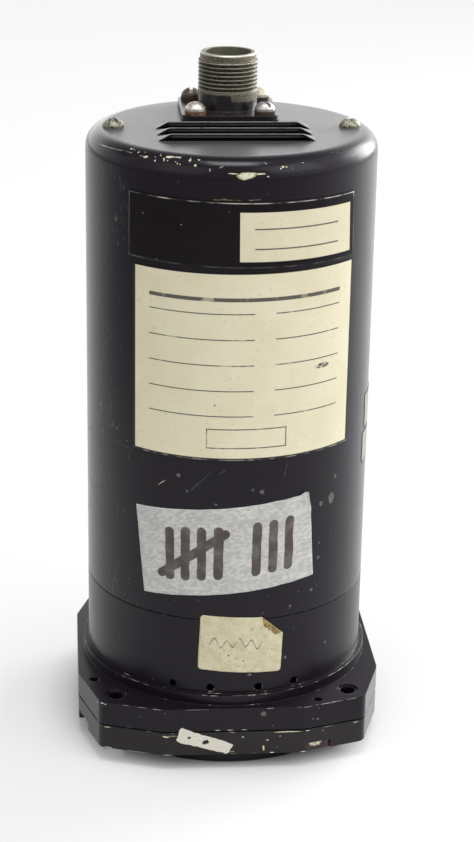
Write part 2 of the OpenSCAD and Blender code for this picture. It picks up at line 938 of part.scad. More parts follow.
module connector_gasket() {
    color("#2c2a2b")
        translate([0, conn_y, z_top])
            difference() {
                conn_square(conn_flange_w, conn_corner, conn_gasket_t);
                hole(tail_d / 2 + conn_hole_clear, 0, conn_gasket_t);
                translate([0, -conn_y, 0])
                    at_conn_screws()
                        hole(conn_screw_d / 2 + screw_clear, 0, conn_gasket_t);
            }
}

module connector_screws() {
    nut_face = z_roof - nut_h - nut_show;
    seat_z = conn_deck_z + washer_t;
    side = conn_screw_pitch / 2;
    color("#9a968a")
        for (place = conn_slots)
            translate([place[0] * side, conn_y + place[1] * side, seat_z])
                rotate([0, 0, place[2]])
                    screw(conn_screw_d, seat_z - nut_face, conn_head_d, conn_head_h);
}

module connector_washers() {
    color("#6b4a33")
        at_conn_screws()
            translate([0, 0, conn_deck_z])
                ring(washer_d / 2, conn_screw_d / 2 + screw_clear, washer_t);
}

module connector_nuts() {
    color(steel)
        at_conn_screws()
            translate([0, 0, z_roof - nut_h])
                difference() {
                    cylinder(d = nut_d, h = nut_h, $fn = 6);
                    hole(conn_screw_d / 2 + seat_clear, 0, nut_h);
                }
}

// Dial and inclinometer
module at_clip_screws() {
    reach = tube_r + clip_clear + clip_t + clip_foot / 2;
    for (sx = [-1, 1], side = [-1, 1])
        translate([0, tube_centre_y, 0])
            rotate([0, 0, sx * clip_place - 90])
                translate([tube_bend_r + side * reach, 0, 0])
                    children();
}

module dial_plate() {
    color("#191919")
        difference() {
            cylinder_between(dial_r, z_dial, z_ledge);
            translate([0, arbor_y, 0])
                hole(dial_hole_r, z_dial, z_ledge);
            tube_arc(0, 2 * (tube_half_angle + plug_head_angle) + 2)
                square([2 * (tube_r + window_clear), tube_d * 2], center = true);
            around(plate_screw_r, [0, 180])
                hole(dial_screw_d / 2 + screw_clear, z_dial, z_ledge);
            at_clip_screws()
                hole(dial_screw_d / 2 + seat_clear, z_dial, z_ledge);
        }
}

module dial_screws() {
    head_d = dial_screw_d * 1.8;
    head_h = dial_screw_d / 2;
    color(brass) {
        around(plate_screw_r, [0, 180])
            translate([0, 0, z_dial])
                mirror([0, 0, 1])
                    screw(dial_screw_d, dial_t + ledge_t / 2, head_d, head_h);
        at_clip_screws()
            translate([0, 0, z_dial - clip_t])
                mirror([0, 0, 1])
                    screw(dial_screw_d, dial_t + clip_t, head_d, head_h);
    }
}

module inclinometer_tube() {
    color("#dfe8e0", 0.4)
        tube_arc(0, 2 * tube_half_angle)
            difference() {
                circle(r = tube_r);
                circle(r = tube_bore_r);
            }
}

module inclinometer_plugs() {
    color(rubber_black)
        for (sx = [-1, 1]) {
            tube_arc(
                sx * (tube_half_angle + (plug_head_angle - plug_angle) / 2),
                plug_angle + plug_head_angle
            )
                circle(r = tube_bore_r - seat_clear);
            tube_arc(sx * (tube_half_angle + plug_head_angle / 2), plug_head_angle)
                circle(r = tube_r);
        }
}

module inclinometer_clips() {
    band_r = tube_r + clip_clear + clip_t;
    foot_y = z_dial - clip_t - z_tube;
    color(brass)
        difference() {
            for (sx = [-1, 1])
                tube_arc(sx * clip_place, clip_angle)
                    difference() {
                        union() {
                            circle(r = band_r);
                            translate([-band_r - clip_foot, foot_y])
                                square([2 * (band_r + clip_foot), clip_t]);
                        }
                        circle(r = tube_r + clip_clear);
                    }
            at_clip_screws()
                hole(dial_screw_d / 2 + seat_clear, z_dial - clip_t, z_dial);
        }
}

module index_wires() {
    turn = wire_d / tube_bend_r * 180 / PI;
    color("#151515")
        for (sx = [-1, 1])
            tube_arc(sx * wire_place, turn)
                difference() {
                    circle(r = tube_r + wire_d);
                    circle(r = tube_r + seat_clear);
                }
}

module slip_ball() {
    color("#101010")
        translate([0, tube_centre_y - tube_bend_r, z_tube])
            sphere(r = ball_r);
}

// Frame of the mechanism
module front_plate() {
    color(alloy)
        difference() {
            cylinder_between(dial_r, z_plate, z_works);
            hole(shoulder_r, z_plate, z_works);
            translate([0, arbor_y, 0])
                hole(arbor_r + bush_wall, z_plate, z_works);
            around(plate_screw_r, plate_screw_angles)
                hole(frame_screw_r + screw_clear, z_plate, z_works);
            around(pillar_circle_r, pillar_angles)
                hole(frame_screw_r + seat_clear, z_plate, z_works);
            at_bridge_screws()
                hole(frame_screw_r + seat_clear, z_plate, z_works);
            for (sx = [-1, 1])
                translate([sx * stop_x, stop_y, 0])
                    hole(frame_screw_r + seat_clear, z_plate, z_works);
        }
}

module rear_plate() {
    color(alloy)
        difference() {
            cylinder_between(rear_plate_d / 2, z_rear, z_deck);
            hole(shoulder_r, z_rear, z_deck);
            around(pillar_circle_r, pillar_angles)
                hole(frame_screw_r + screw_clear, z_rear, z_deck);
            for (sx = [-1, 1]) {
                translate([sx * cover_screw_x, 0, 0])
                    hole(post_spigot_d / 2 + seat_clear, z_rear, z_deck);
                translate([sx * flex_x, flex_y, 0])
                    hole(lead_d, z_rear, z_deck);
            }
            at_damper_screws()
                hole(frame_screw_r + screw_clear, z_rear, z_deck);
            translate([0, anchor_y, 0])
                hole(frame_screw_r + seat_clear, z_rear, z_deck);
        }
}

module frame_pillars() {
    thread_len = frame_screw_len - plate_t + overcut;
    color(steel)
        around(pillar_circle_r, pillar_angles) {
            difference() {
                cylinder_between(pillar_r, z_works, z_rear);
                hole(frame_screw_r + seat_clear, z_rear - thread_len, z_rear);
            }
            cylinder_between(frame_screw_r, z_plate, z_works + pillar_r);
        }
}

module frame_screw() {
    screw(frame_screw_d, frame_screw_len, frame_head_d, frame_head_h);
}

module frame_screws() {
    color(steel) {
        around(plate_screw_r, plate_screw_angles)
            translate([0, 0, z_works])
                frame_screw();
        around(pillar_circle_r, pillar_angles)
            translate([0, 0, z_deck])
                frame_screw();
        at_damper_screws()
            translate([0, 0, z_deck])
                frame_screw();
    }
}

module gimbal_bushes() {
    color(brass)
        for (z = [z_plate, z_rear])
            translate([0, 0, z])
                ring(shoulder_r - seat_clear, journal_d / 2 + run_clear, plate_t);
}

module arbor_bush() {
    color(brass)
        translate([0, arbor_y, z_plate])
            ring(arbor_r + bush_wall - seat_clear, arbor_r + run_clear, plate_t);
}

module at_bridge_screws() {
    for (sx = [-1, 1])
        translate([sx * bridge_half, arbor_y - bridge_w / 2, 0])
            children();
}

module arbor_bridge() {
    color(brass)
        difference() {
            union() {
                translate([-bridge_half, arbor_y - bridge_w, z_bridge])
                    cube([2 * bridge_half, bridge_w + bridge_front, bridge_t]);
                at_bridge_screws() {
                    cylinder_between(bridge_w / 2, z_works, z_bridge + bridge_t);
                    cylinder_between(frame_screw_r, z_plate, z_works + bridge_t);
                }
            }
            translate([0, arbor_y, 0])
                hole(arbor_r + run_clear, z_bridge, z_bridge + bridge_t);
        }
}

module gimbal_stops() {
    color(steel)
        for (sx = [-1, 1])
            translate([sx * stop_x, stop_y, 0]) {
                cylinder_between(stop_d / 2, z_works, stop_tip_z);
                cylinder_between(frame_screw_r, z_plate, z_works + stop_d);
            }
}

// Damper and spring
module at_damper_screws() {
    for (x = [cylinder_x0 + damper_screw_inset, cylinder_x1 - damper_screw_inset])
        translate([x, damper_arm_len, 0])
            children();
}

module damper_cylinder() {
    color(brass)
        difference() {
            union() {
                translate([cylinder_x0, damper_arm_len, z_damper])
                    along_x()
                        cylinder(r = cylinder_r, h = cylinder_x1 - cylinder_x0);
                translate([cylinder_x0, damper_arm_len - damper_foot_w / 2, z_damper])
                    cube([cylinder_x1 - cylinder_x0, damper_foot_w, z_rear - z_damper]);
            }
            translate([cylinder_x0 + cylinder_wall, damper_arm_len, z_damper])
                along_x()
                    cylinder(r = cylinder_bore_r, h = cylinder_x1 - cylinder_x0 - 2 * cylinder_wall);
            translate([cylinder_x0 - overcut, damper_arm_len, z_damper])
                along_x()
                    cylinder(d = rod_d + 4 * piston_clear, h = cylinder_wall + 2 * overcut);
            at_damper_screws()
                hole(frame_screw_r + seat_clear, z_deck - frame_screw_len - seat_clear + overcut, z_rear);
        }
}

module damper_piston() {
    slot_half = damper_pin_d / 2 + yoke_clear;
    color(steel)
        translate([0, damper_arm_len, z_damper]) {
            difference() {
                translate([-yoke_half, -yoke_depth / 2, -yoke_h / 2])
                    cube([2 * yoke_half, yoke_depth, yoke_h]);
                translate([-slot_half, -yoke_depth / 2 + 1, -yoke_h])
                    cube([2 * slot_half, yoke_depth - 2, 2 * yoke_h]);
            }
            translate([yoke_half - 1, 0, 0])
                along_x()
                    cylinder(d = rod_d, h = piston_x - yoke_half + 2);
            translate([piston_x, 0, 0])
                along_x()
                    cylinder(d = piston_d, h = piston_len);
        }
}

module spring_anchor() {
    color(steel)
        translate([0, anchor_y, 0]) {
            cylinder_between(anchor_d / 2, z_damper - anchor_d, z_rear);
            cylinder_between(frame_screw_r, z_rear - anchor_d, z_deck);
        }
}

// The spring's wire runs straight from each pin, then winds about the line between them
function spring_point(t) =
    let (
        coil_y0 = spring_y0 - spring_lead,
        coil_y1 = spring_y1 + spring_lead,
        a = 360 * spring_coils * t
    )
    [spring_r * sin(a), coil_y0 + (coil_y1 - coil_y0) * t, z_damper - spring_r * cos(a)];

spring_path = concat(
    [[0, spring_y0, z_damper], [0, spring_y0 - spring_lead / 2, z_damper]],
    [for (i = [0 : spring_coils * rings_per_coil]) spring_point(i / (spring_coils * rings_per_coil))],
    [[0, spring_y1 + spring_lead / 2, z_damper], [0, spring_y1, z_damper]]
);

spring_gap = min([
    for (i = [0 : rings_per_coil - 1])
        norm(spring_point(i / (spring_coils * rings_per_coil))
            - spring_point((i + rings_per_coil) / (spring_coils * rings_per_coil)))
]) - spring_wire_d;

// A smooth curve through a list of points
function curve_point(a, b, c, d, t) =
    0.5 * (2 * b + (c - a) * t + (2 * a - 5 * b + 4 * c - d) * t * t + (3 * b - a - 3 * c + d) * t * t * t);

function curve(points) =
    let (n = len(points))
    concat(
        [for (i = [0 : n - 2], k = [0 : curve_steps - 1])
            curve_point(
                points[max(i - 1, 0)], points[i], points[i + 1], points[min(i + 2, n - 1)],
                k / curve_steps
            )],
        [points[n - 1]]
    );

// A path that leaves one point and reaches another straight upwards, in an S between them
function upward_s(from, to) =
    let (
        rise = [0, 0, lead_straight],
        low = from + rise,
        way = to - from - 2 * rise
    )
    concat(
        [from],
        [for (k = [0 : lead_steps])
            let (t = k / lead_steps, over = t * t * (3 - 2 * t))
            low + [way[0] * over, way[1] * over, way[2] * t]],
        [to]
    );

function ahead_at(path, i) = unit(path[min(i + 1, len(path) - 1)] - path[max(i - 1, 0)]);

function first_side(ahead) = unit(cross(ahead, abs(ahead[0]) > 0.9 ? [0, 0, 1] : [1, 0, 0]));

// One cross direction for each point of a path, each carried on from the one before
function carried_sides(path, sides) =
    len(sides) == len(path) ? sides : let (
        ahead = ahead_at(path, len(sides)),
        last = sides[len(sides) - 1]
    )
    carried_sides(path, concat(sides, [unit(last - (last * ahead) * ahead)]));

module tube_along(path, d, sides) {
    n = len(path);
    across = carried_sides(path, [first_side(ahead_at(path, 0))]);
    rings = [for (i = [0 : n - 1])
        let (up = cross(across[i], ahead_at(path, i)))
        [for (k = [0 : sides - 1])
            path[i] + d / 2 * (cos(360 * k / sides) * across[i] + sin(360 * k / sides) * up)]
    ];
    points = [for (r = rings) each r];
    walls = [for (i = [0 : n - 2], k = [0 : sides - 1])
        let (a = i * sides + k, b = i * sides + (k + 1) % sides)
        each [[a, b, b + sides], [a, b + sides, a + sides]]
    ];
    ends = [for (k = [1 : sides - 2]) each [
        [0, k + 1, k],
        [(n - 1) * sides, (n - 1) * sides + k, (n - 1) * sides + k + 1]
    ]];
    polyhedron(points, concat(walls, ends));
}

module centring_spring() {
    echo(spring_gap = spring_gap);
    color(steel)
        tube_along(spring_path, spring_wire_d, wire_sides);
}

// Gear teeth
function involute(angle) = tan(angle) - angle * PI / 180;

function half_tooth(r, pitch_r, teeth) =
    let (
        base_r = pitch_r * cos(pressure_angle),
        here = acos(min(1, base_r / r)),
        thin = tooth_backlash / pitch_r * 180 / PI
    )
    90 / teeth - thin + (involute(pressure_angle) - involute(here)) * 180 / PI;

// One tooth's flanks, root to tip and back, about the direction of an angle
function tooth(middle, pitch_r, teeth, addendum) =
    let (
        low = max(pitch_r - dedendum, pitch_r * cos(pressure_angle)),
        high = pitch_r + addendum,
        root = pitch_r - dedendum,
        radii = [for (i = [0 : flank_steps]) low + (high - low) * i / flank_steps],
        rise = concat(
            [[root, half_tooth(low, pitch_r, teeth)]],
            [for (r = radii) [r, half_tooth(r, pitch_r, teeth)]]
        ),
        n = len(rise)
    )
    concat(
        [for (i = [0 : n - 1]) rise[i][0] * [cos(middle - rise[i][1]), sin(middle - rise[i][1])]],
        [for (i = [n - 1 : -1 : 0]) rise[i][0] * [cos(middle + rise[i][1]), sin(middle + rise[i][1])]]
    );

module gear_sector() {
    pitch_turn = 360 / sector_teeth;
    color(brass)
        difference() {
            translate([0, 0, z_sector]) {
                linear_extrude(sector_t)
                    polygon(concat(
                        [[0, 0]],
                        [for (i = [-sector_pairs : sector_pairs - 1])
                            each tooth(
                                -90 + (i + 0.5) * pitch_turn, sector_r, sector_teeth, sector_addendum
                            )]
                    ));
                cylinder(r = shoulder_r + sector_hub, h = sector_t);
            }
            hole(shoulder_r + seat_clear, z_sector, z_sector + sector_t);
        }
}

module needle_arbor() {
    pinion_z = z_sector - pinion_over;
    color(steel)
        translate([0, arbor_y, 0]) {
            cylinder_between(arbor_r, z_hub - arbor_nose, z_bridge + bridge_t);
            translate([0, 0, pinion_z])
                linear_extrude(sector_t + 2 * pinion_over)
                    polygon([for (i = [0 : pinion_teeth - 1])
                        each tooth(90 + i * 360 / pinion_teeth, pinion_r, pinion_teeth, pinion_addendum)]);
        }
}

module turn_needle() {
    shoulder = needle_len * 0.82;
    color("#efeee6")
        translate([0, arbor_y, 0])
            difference() {
                union() {
                    cylinder_between(hub_r, z_hub, z_hub + hub_h);
                    translate([0, 0, z_needle])
                        linear_extrude(needle_t)
                            polygon([
                                [-needle_w / 3, 0], [needle_w / 3, 0], [needle_w / 2, shoulder],
                                [0, needle_len], [-needle_w / 2, shoulder]
                            ]);
                }
                hole(arbor_r + seat_clear, z_hub, z_hub + hub_h);
            }
}

// Gimbal
module gimbal_frame() {
    color(alloy)
        difference() {
            translate([-gimbal_out_x, -gimbal_w / 2, z_gimbal])
                cube([2 * gimbal_out_x, gimbal_w, gimbal_h]);
            translate([-gimbal_in_x, -gimbal_w, z_rotor - gimbal_in_z])
                cube([2 * gimbal_in_x, 2 * gimbal_w, 2 * gimbal_in_z]);
            hole(pivot_r + seat_clear, z_gimbal, z_gimbal_top);
            translate([-gimbal_out_x - overcut, 0, z_rotor])
                along_x()
                    cylinder(r = bearing_r + seat_clear, h = 2 * (gimbal_out_x + overcut));
        }
}

module gimbal_pivots() {
    color(steel) {
        cylinder_between(journal_d / 2, z_plate + shoulder_gap, z_gimbal);
        cylinder_between(shoulder_r, z_works + shoulder_gap, z_gimbal);
        cylinder_between(pivot_r, z_works + shoulder_gap, z_gimbal + gimbal_t);
        cylinder_between(pivot_r, z_gimbal_top - gimbal_t, z_gimbal_top + 1);
        cylinder_between(shoulder_r, z_gimbal_top, z_rear - shoulder_gap);
        cylinder_between(journal_d / 2, z_gimbal_top, z_deck - shoulder_gap);
    }
}

module damper_arm() {
    color(brass)
        difference() {
            union() {
                cylinder_between(arm_hub_r, z_arm, z_arm + arm_t);
                translate([-arm_w / 2, spring_pin_y - spring_pin_d, z_arm])
                    cube([arm_w, damper_arm_len + damper_pin_d - spring_pin_y + spring_pin_d, arm_t]);
                translate([0, damper_arm_len, 0])
                    cylinder_between(damper_pin_d / 2, z_arm, z_damper + yoke_h / 2);
                translate([0, spring_pin_y, 0])
                    cylinder_between(spring_pin_d / 2, z_arm, z_damper + spring_r);
            }
            hole(shoulder_r + seat_clear, z_arm, z_arm + arm_t);
        }
}

module field_magnet() {
    field_end = web_x - field_gap;
    color("#3a3a3c")
        translate([-gimbal_in_x, 0, z_rotor])
            along_x()
                ring(field_r, field_bore_r, gimbal_in_x + field_end);
}

module brush_holder() {
    holder_end = commutator_x + commutator_len + 0.5;
    holder_top = field_bore_r - holder_clear - 1;
    brush_x = commutator_x + commutator_len / 2;
    color(phenolic)
        translate([0, 0, z_rotor])
            difference() {
                union() {
                    translate([-gimbal_in_x, 0, 0])
                        along_x()
                            ring(field_bore_r - holder_clear, rotor_shaft_r + 1.5, holder_t);
                    for (sz = [-1, 1])
                        translate([-gimbal_in_x, -holder_w / 2, sz < 0 ? -holder_top : holder_low])
                            cube([gimbal_in_x + holder_end, holder_w, holder_top - holder_low]);
                }
                translate([brush_x - brush_w / 2 - brush_fit, -brush_w / 2 - brush_fit, -rotor_r])
                    cube([brush_w + 2 * brush_fit, brush_w + 2 * brush_fit, rotor_d]);
            }
}

module brushes() {
    brush_x = commutator_x + commutator_len / 2;
    color("#2b2b2b")
        for (sz = [-1, 1])
            translate([brush_x - brush_w / 2, -brush_w / 2, z_rotor])
                translate([0, 0, sz > 0 ? commutator_r + brush_gap : -commutator_r - brush_gap - brush_len])
                    cube([brush_w, brush_w, brush_len]);
}

module rotor_bearings() {
    color(steel)
        for (x = [-gimbal_out_x, gimbal_in_x])
            translate([x, 0, z_rotor])
                along_x()
                    ring(bearing_r, rotor_shaft_r + run_clear, gimbal_t);
}

// Rotor
module rotor_flywheel() {
    hub_out = 5;
    color(brass)
        translate([0, 0, z_rotor])
            along_x()
                difference() {
                    rotate_extrude()
                        polygon([
                            [rotor_shaft_r + seat_clear, web_x - 1], [hub_out, web_x - 1], [hub_out, web_x],
                            [rotor_r - rotor_rim, web_x], [rotor_r - rotor_rim, -rotor_w / 2],
                            [rotor_r, -rotor_w / 2], [rotor_r, rotor_w / 2],
                            [rotor_shaft_r + seat_clear, rotor_w / 2]
                        ]);
                }
}

module rotor_shaft() {
    color(steel)
        translate([-gimbal_out_x, 0, z_rotor])
            along_x()
                cylinder(r = rotor_shaft_r, h = 2 * gimbal_out_x);
}

module armature() {
    slots = 12;
    slot_w = 1.4;
    slot_depth = 2.5;
    color(copper)
        translate([-armature_len / 2, 0, z_rotor])
            along_x()
                difference() {
                    ring(armature_r, rotor_shaft_r + seat_clear, armature_len);
                    for (k = [0 : slots - 1])
                        rotate([0, 0, k * 360 / slots])
                            translate([armature_r - slot_depth, -slot_w / 2, -overcut])
                                cube([2 * slot_depth, slot_w, armature_len + 2 * overcut]);
                }
}

module commutator() {
    color(copper)
        translate([commutator_x, 0, z_rotor])
            along_x()
                ring(commutator_r, rotor_shaft_r + seat_clear, commutator_len);
}

// Electrical parts behind the rear plate
module filter_capacitor() {
    stud = 3;
    color("#c4c2b8")
        translate([-part_x, part_y, 0]) {
            cylinder_between(capacitor_d / 2, z_deck, z_deck + capacitor_len);
            cylinder_between(stud / 2, z_deck, z_deck + capacitor_len + stud);
        }
}

module filter_choke() {
    cheek = 2;
    winding_r = choke_d / 2 - 1;
    color(copper)
        translate([part_x, part_y, 0]) {
            cylinder_between(choke_d / 2, z_deck, z_deck + cheek);
            cylinder_between(winding_r, z_deck, z_deck + choke_len);
            cylinder_between(choke_d / 2, z_deck + choke_len - cheek, z_deck + choke_len);
        }
}

module terminal_board() {
    color(phenolic)
        difference() {
            translate([-board_l / 2, board_y - board_w / 2, z_deck])
                cube([board_l, board_w, board_t]);
            for (x = terminal_xs)
                translate([x, board_y, 0])
                    hole(terminal_d / 2 + seat_clear, z_deck, z_deck + board_t);
        }
}

module terminal_posts() {
    color(brass)
        for (x = terminal_xs)
            translate([x, board_y, z_deck]) {
                cylinder(d = terminal_d, h = board_t + terminal_h);
                translate([0, 0, board_t])
                    cylinder(d = terminal_nut_d, h = terminal_nut_h, $fn = 6);
            }
}

module lead_wires() {
    lead_z = z_deck + board_t + terminal_h;
    cup_z = tail_z - solder_cup;
    starts = [terminal_xs[1], terminal_xs[0], terminal_xs[2]];
    color("#c9c0a6")
        for (i = [0 : 2])
            tube_along(
                upward_s(
                    [starts[i], board_y, lead_z],
                    [pin_circle_r * cos(pin_angles[i]), conn_y + pin_circle_r * sin(pin_angles[i]), cup_z]
                ),
                lead_d, lead_sides
            );
}

module flex_leads() {
    bow_z = (z_gimbal_top + z_rear) / 2;
    bend_z = z_deck + board_t + terminal_nut_h + 2;
    color("#b23a2e")
        for (sx = [-1, 1])
            tube_along(curve([
                [sx * flex_x, flex_y, z_gimbal_top],
                [sx * flex_x, flex_y, z_gimbal_top + lead_straight],
                [sx * flex_x, flex_y, z_gimbal_top + 2 * lead_straight],
                [sx * (flex_x + flex_bow), flex_y - flex_bow, bow_z],
                [sx * flex_x, flex_y, z_rear],
                [sx * flex_x, flex_y, bend_z],
                [sx * terminal_xs[3], board_y - terminal_d / 2 - lead_d / 2, bend_z]
            ]), lead_d, lead_sides);
}

glass_ring();
bezel_plate();
cover_glass();
glass_seal();
bezel_screws();
joint_gasket();
front_housing();
case_can();
cover_screws();
cover_posts();
upper_foil();
lower_foil();
connector_shell();
connector_insert();
connector_pins();
connector_gasket();
connector_screws();
connector_washers();
connector_nuts();
dial_plate();
dial_screws();
inclinometer_tube();
inclinometer_plugs();
inclinometer_clips();
index_wires();
front_plate();
rear_plate();
frame_pillars();
frame_screws();
gimbal_bushes();
arbor_bush();
arbor_bridge();
gimbal_stops();
damper_cylinder();
spring_anchor();
centring_spring();
filter_capacitor();
filter_choke();
terminal_board();
terminal_posts();
lead_wires();
flex_leads();
gimbal_frame();
gimbal_pivots();
gear_sector();
damper_arm();
field_magnet();
brush_holder();
brushes();
rotor_bearings();
rotor_flywheel();
rotor_shaft();
armature();
commutator();
needle_arbor();
turn_needle();
slip_ball();
damper_piston();
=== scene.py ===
# %% [markdown]
# An aircraft turn and slip indicator stands on its face on a white bench. Its rear can is sprayed black
# and carries two foil plates, a strip of tape and a small sticker. The rigid pieces come from the packed
# model as a fixed frame. This lesson dresses them: first the camera and the light, then the finishes,
# then the thin pieces.

# %% Load the frame
import math

import bmesh
import bpy
import numpy as np
from mathutils import Matrix, Vector


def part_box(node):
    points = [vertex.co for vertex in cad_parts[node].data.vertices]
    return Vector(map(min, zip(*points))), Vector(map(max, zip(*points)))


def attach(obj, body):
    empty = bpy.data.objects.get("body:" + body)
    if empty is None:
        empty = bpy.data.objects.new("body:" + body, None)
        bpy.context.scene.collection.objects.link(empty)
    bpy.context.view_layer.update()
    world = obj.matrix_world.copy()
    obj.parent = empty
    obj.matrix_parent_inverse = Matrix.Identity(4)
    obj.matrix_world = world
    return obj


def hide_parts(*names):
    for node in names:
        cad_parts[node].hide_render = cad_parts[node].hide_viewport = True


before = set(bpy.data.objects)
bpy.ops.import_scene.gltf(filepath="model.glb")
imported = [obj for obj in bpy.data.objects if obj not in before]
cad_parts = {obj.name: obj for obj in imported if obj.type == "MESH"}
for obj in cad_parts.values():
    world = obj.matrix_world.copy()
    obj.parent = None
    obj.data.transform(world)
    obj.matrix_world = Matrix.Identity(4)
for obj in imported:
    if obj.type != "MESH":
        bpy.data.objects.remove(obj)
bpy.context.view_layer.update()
MM = 0.001

# %% [markdown]
# The photograph was taken a little to the left of the instrument's front and about twenty degrees above
# it. The camera's place and lens were solved from the can's edges, so the script only has to write them
# down. The two axes of the picture are turned by the small roll that the photograph has.

# %% Camera
camera_spot = Vector((-44.4, -538.7, 286.5)) * MM
heading, dip, roll = math.radians(5.0), math.radians(20.513), math.radians(1.066)
ahead = Vector((math.cos(dip) * math.sin(heading), math.cos(dip) * math.cos(heading), -math.sin(dip)))
level = Vector((math.cos(heading), -math.sin(heading), 0))
above = level.cross(ahead)
right = level * math.cos(roll) + above * math.sin(roll)
up = above * math.cos(roll) - level * math.sin(roll)
lens = bpy.data.cameras.new("camera")
lens.sensor_fit, lens.sensor_height, lens.lens = "VERTICAL", 36, 90.28
lens.clip_start, lens.clip_end = 0.01, 20
camera = bpy.data.objects.new("camera", lens)
camera.matrix_world = Matrix.Translation(camera_spot) @ Matrix((right, up, -ahead)).transposed().to_4x4()
bpy.context.scene.collection.objects.link(camera)
bpy.context.scene.camera = camera
bpy.context.scene.view_settings.view_transform = "Standard"
print("camera", [round(v, 3) for v in camera_spot], "lens", lens.lens)

# %% [markdown]
# Finishes are sums of patterns. A wire is one shader socket that takes part in ordinary Python
# arithmetic, so a mask reads like a formula. Plain numbers stay in Python, and only what changes over a
# surface becomes nodes.


# %% Wires for shader sums
def both_ways(operation):
    """One Math operation as an operator and as its reflected form."""

    def forward(self, other):
        return self.node("ShaderNodeMath", {"operation": operation}, {0: self, 1: other})

    def reflected(self, other):
        return self.node("ShaderNodeMath", {"operation": operation}, {0: other, 1: self})

    return forward, reflected


class Wire:
    """A shader socket: an operator between wires, or a wire and a number, adds one Math node."""

    __add__, __radd__ = both_ways("ADD")
    __sub__, __rsub__ = both_ways("SUBTRACT")
    __mul__, __rmul__ = both_ways("MULTIPLY")
    __truediv__, __rtruediv__ = both_ways("DIVIDE")
    __pow__, __rpow__ = both_ways("POWER")
    __mod__, __rmod__ = both_ways("FLOORED_MODULO")

    def __init__(self, socket):
        self.socket = socket

    def node(self, kind, settings=None, sockets=None, out=0):
        """A node of one kind in this wire's tree: its settings first, then its sockets' values or wires."""
        tree = self.socket.id_data
        made = tree.nodes.new(kind)
        for name, value in (settings or {}).items():
            setattr(made, name, value)
        for name, value in (sockets or {}).items():
            if isinstance(value, Wire):
                tree.links.new(value.socket, made.inputs[name])
            else:
                made.inputs[name].default_value = value
        return Wire(made.outputs[out]) if made.outputs else None

    def also(self, out):
        """Another output of the node that this wire comes from."""
        return Wire(self.socket.node.outputs[out])


def math_of(operation, a, b=0.0):
    """A Math node that has no operator of its own."""
    return a.node("ShaderNodeMath", {"operation": operation}, {0: a, 1: b})


def smooth(value, low, high):
    """0 below low, 1 above high and a soft S between them. low may be the larger, which turns it round."""
    return value.node("ShaderNodeMapRange", {"interpolation_type": "SMOOTHSTEP"},
                      {"Value": value, "From Min": low, "From Max": high})


def noise(at, size, detail=2.0, rough=0.5):
    """Cloudy noise from 0 to 1 with patches of about that size, in metres."""
    sockets = {"Vector": at, "Scale": 1 / size, "Detail": detail, "Roughness": rough}
    return at.node("ShaderNodeTexNoise", {}, sockets)


def cells(at, size):
    """Distance to the nearest of scattered points that stand about that size apart, counted in sizes."""
    return at.node("ShaderNodeTexVoronoi", {}, {"Vector": at, "Scale": 1 / size})


def stretched(at, x, y, z):
    """The same place with each axis made that many times longer."""
    return at.node("ShaderNodeVectorMath", {"operation": "MULTIPLY"}, {0: at, 1: (x, y, z)})


def split(at):
    """The three parts of a place."""
    parts = at.node("ShaderNodeSeparateXYZ", {}, {0: at})
    return parts, parts.also("Y"), parts.also("Z")


def tint(mask, low, high):
    """Colour low where the mask is 0 and colour high where it is 1."""
    wide = [c if isinstance(c, Wire) else (*c, 1.0) for c in (low, high)]
    return mask.node("ShaderNodeMix", {"data_type": "RGBA"}, {0: mask, 6: wide[0], 7: wide[1]}, 2)


def spots(at, size, radius, share):
    """Round spots of that radius on a share of the scattered points."""
    near = cells(at, size)
    keep = near.node("ShaderNodeSeparateColor", {}, {0: near.also("Color")})
    return smooth(near, radius / size, 0.7 * radius / size) * smooth(keep, 1 - share, 1 - share + 0.01)


def hairlines(at, size, long, share):
    """Fine scratches: noise drawn out along one way, of which only the crests show."""
    return smooth(noise(stretched(at, 1, 1, 1 / long), size, 3), 1 - share, 1 - share + 0.06)


def bump(height, depth, normal=None):
    """Light and shade of a height from 0 to 1 that stands that deep, in metres."""
    sockets = {"Height": height, "Distance": depth, "Strength": 1.0}
    return height.node("ShaderNodeBump", {}, sockets | ({"Normal": normal} if normal else {}))


def worn_edge(at, radius):
    """The softened normal of a worn edge, and a mask that is 1 on the edge and 0 on flat faces."""
    soft = at.node("ShaderNodeBevel", {"samples": 6}, {"Radius": radius})
    true = at.node("ShaderNodeNewGeometry", {}, {}, "Normal")
    same = at.node("ShaderNodeVectorMath", {"operation": "DOT_PRODUCT"}, {0: soft, 1: true}, "Value")
    return soft, smooth(same, 0.995, 0.93)


def start(name):
    """A new material, and the wire of a piece's own coordinates in metres."""
    made = bpy.data.materials.new(name)
    made.use_nodes = True
    made.node_tree.nodes.clear()
    return made, Wire(made.node_tree.nodes.new("ShaderNodeTexCoord").outputs["Object"])


def close(made, at, base, rough, **rest):
    """Ends a material in one Principled shader. Names in rest are its sockets, with _ for a blank."""
    sockets = {"Base Color": base, "Roughness": rough} | {k.replace("_", " "): v for k, v in rest.items()}
    sockets = {k: (*v, 1.0) if isinstance(v, tuple) and len(v) == 3 else v for k, v in sockets.items()}
    shader = at.node("ShaderNodeBsdfPrincipled", {}, sockets)
    at.node("ShaderNodeOutputMaterial", {}, {"Surface": shader})
    return made


print("wires ready")

# %% [markdown]
# The floor is a white sheet that runs past every side of the picture. Its back is clear and it has a hole
# under the dial, so that the dial is lit and can be looked at from below. The light is a white room that
# is brightest behind and at the right, as the bright edges of the can show, with four soft lamps. The one
# on the right gives the shadow its direction, and the one above draws the line of light along the can's
# rounded end.

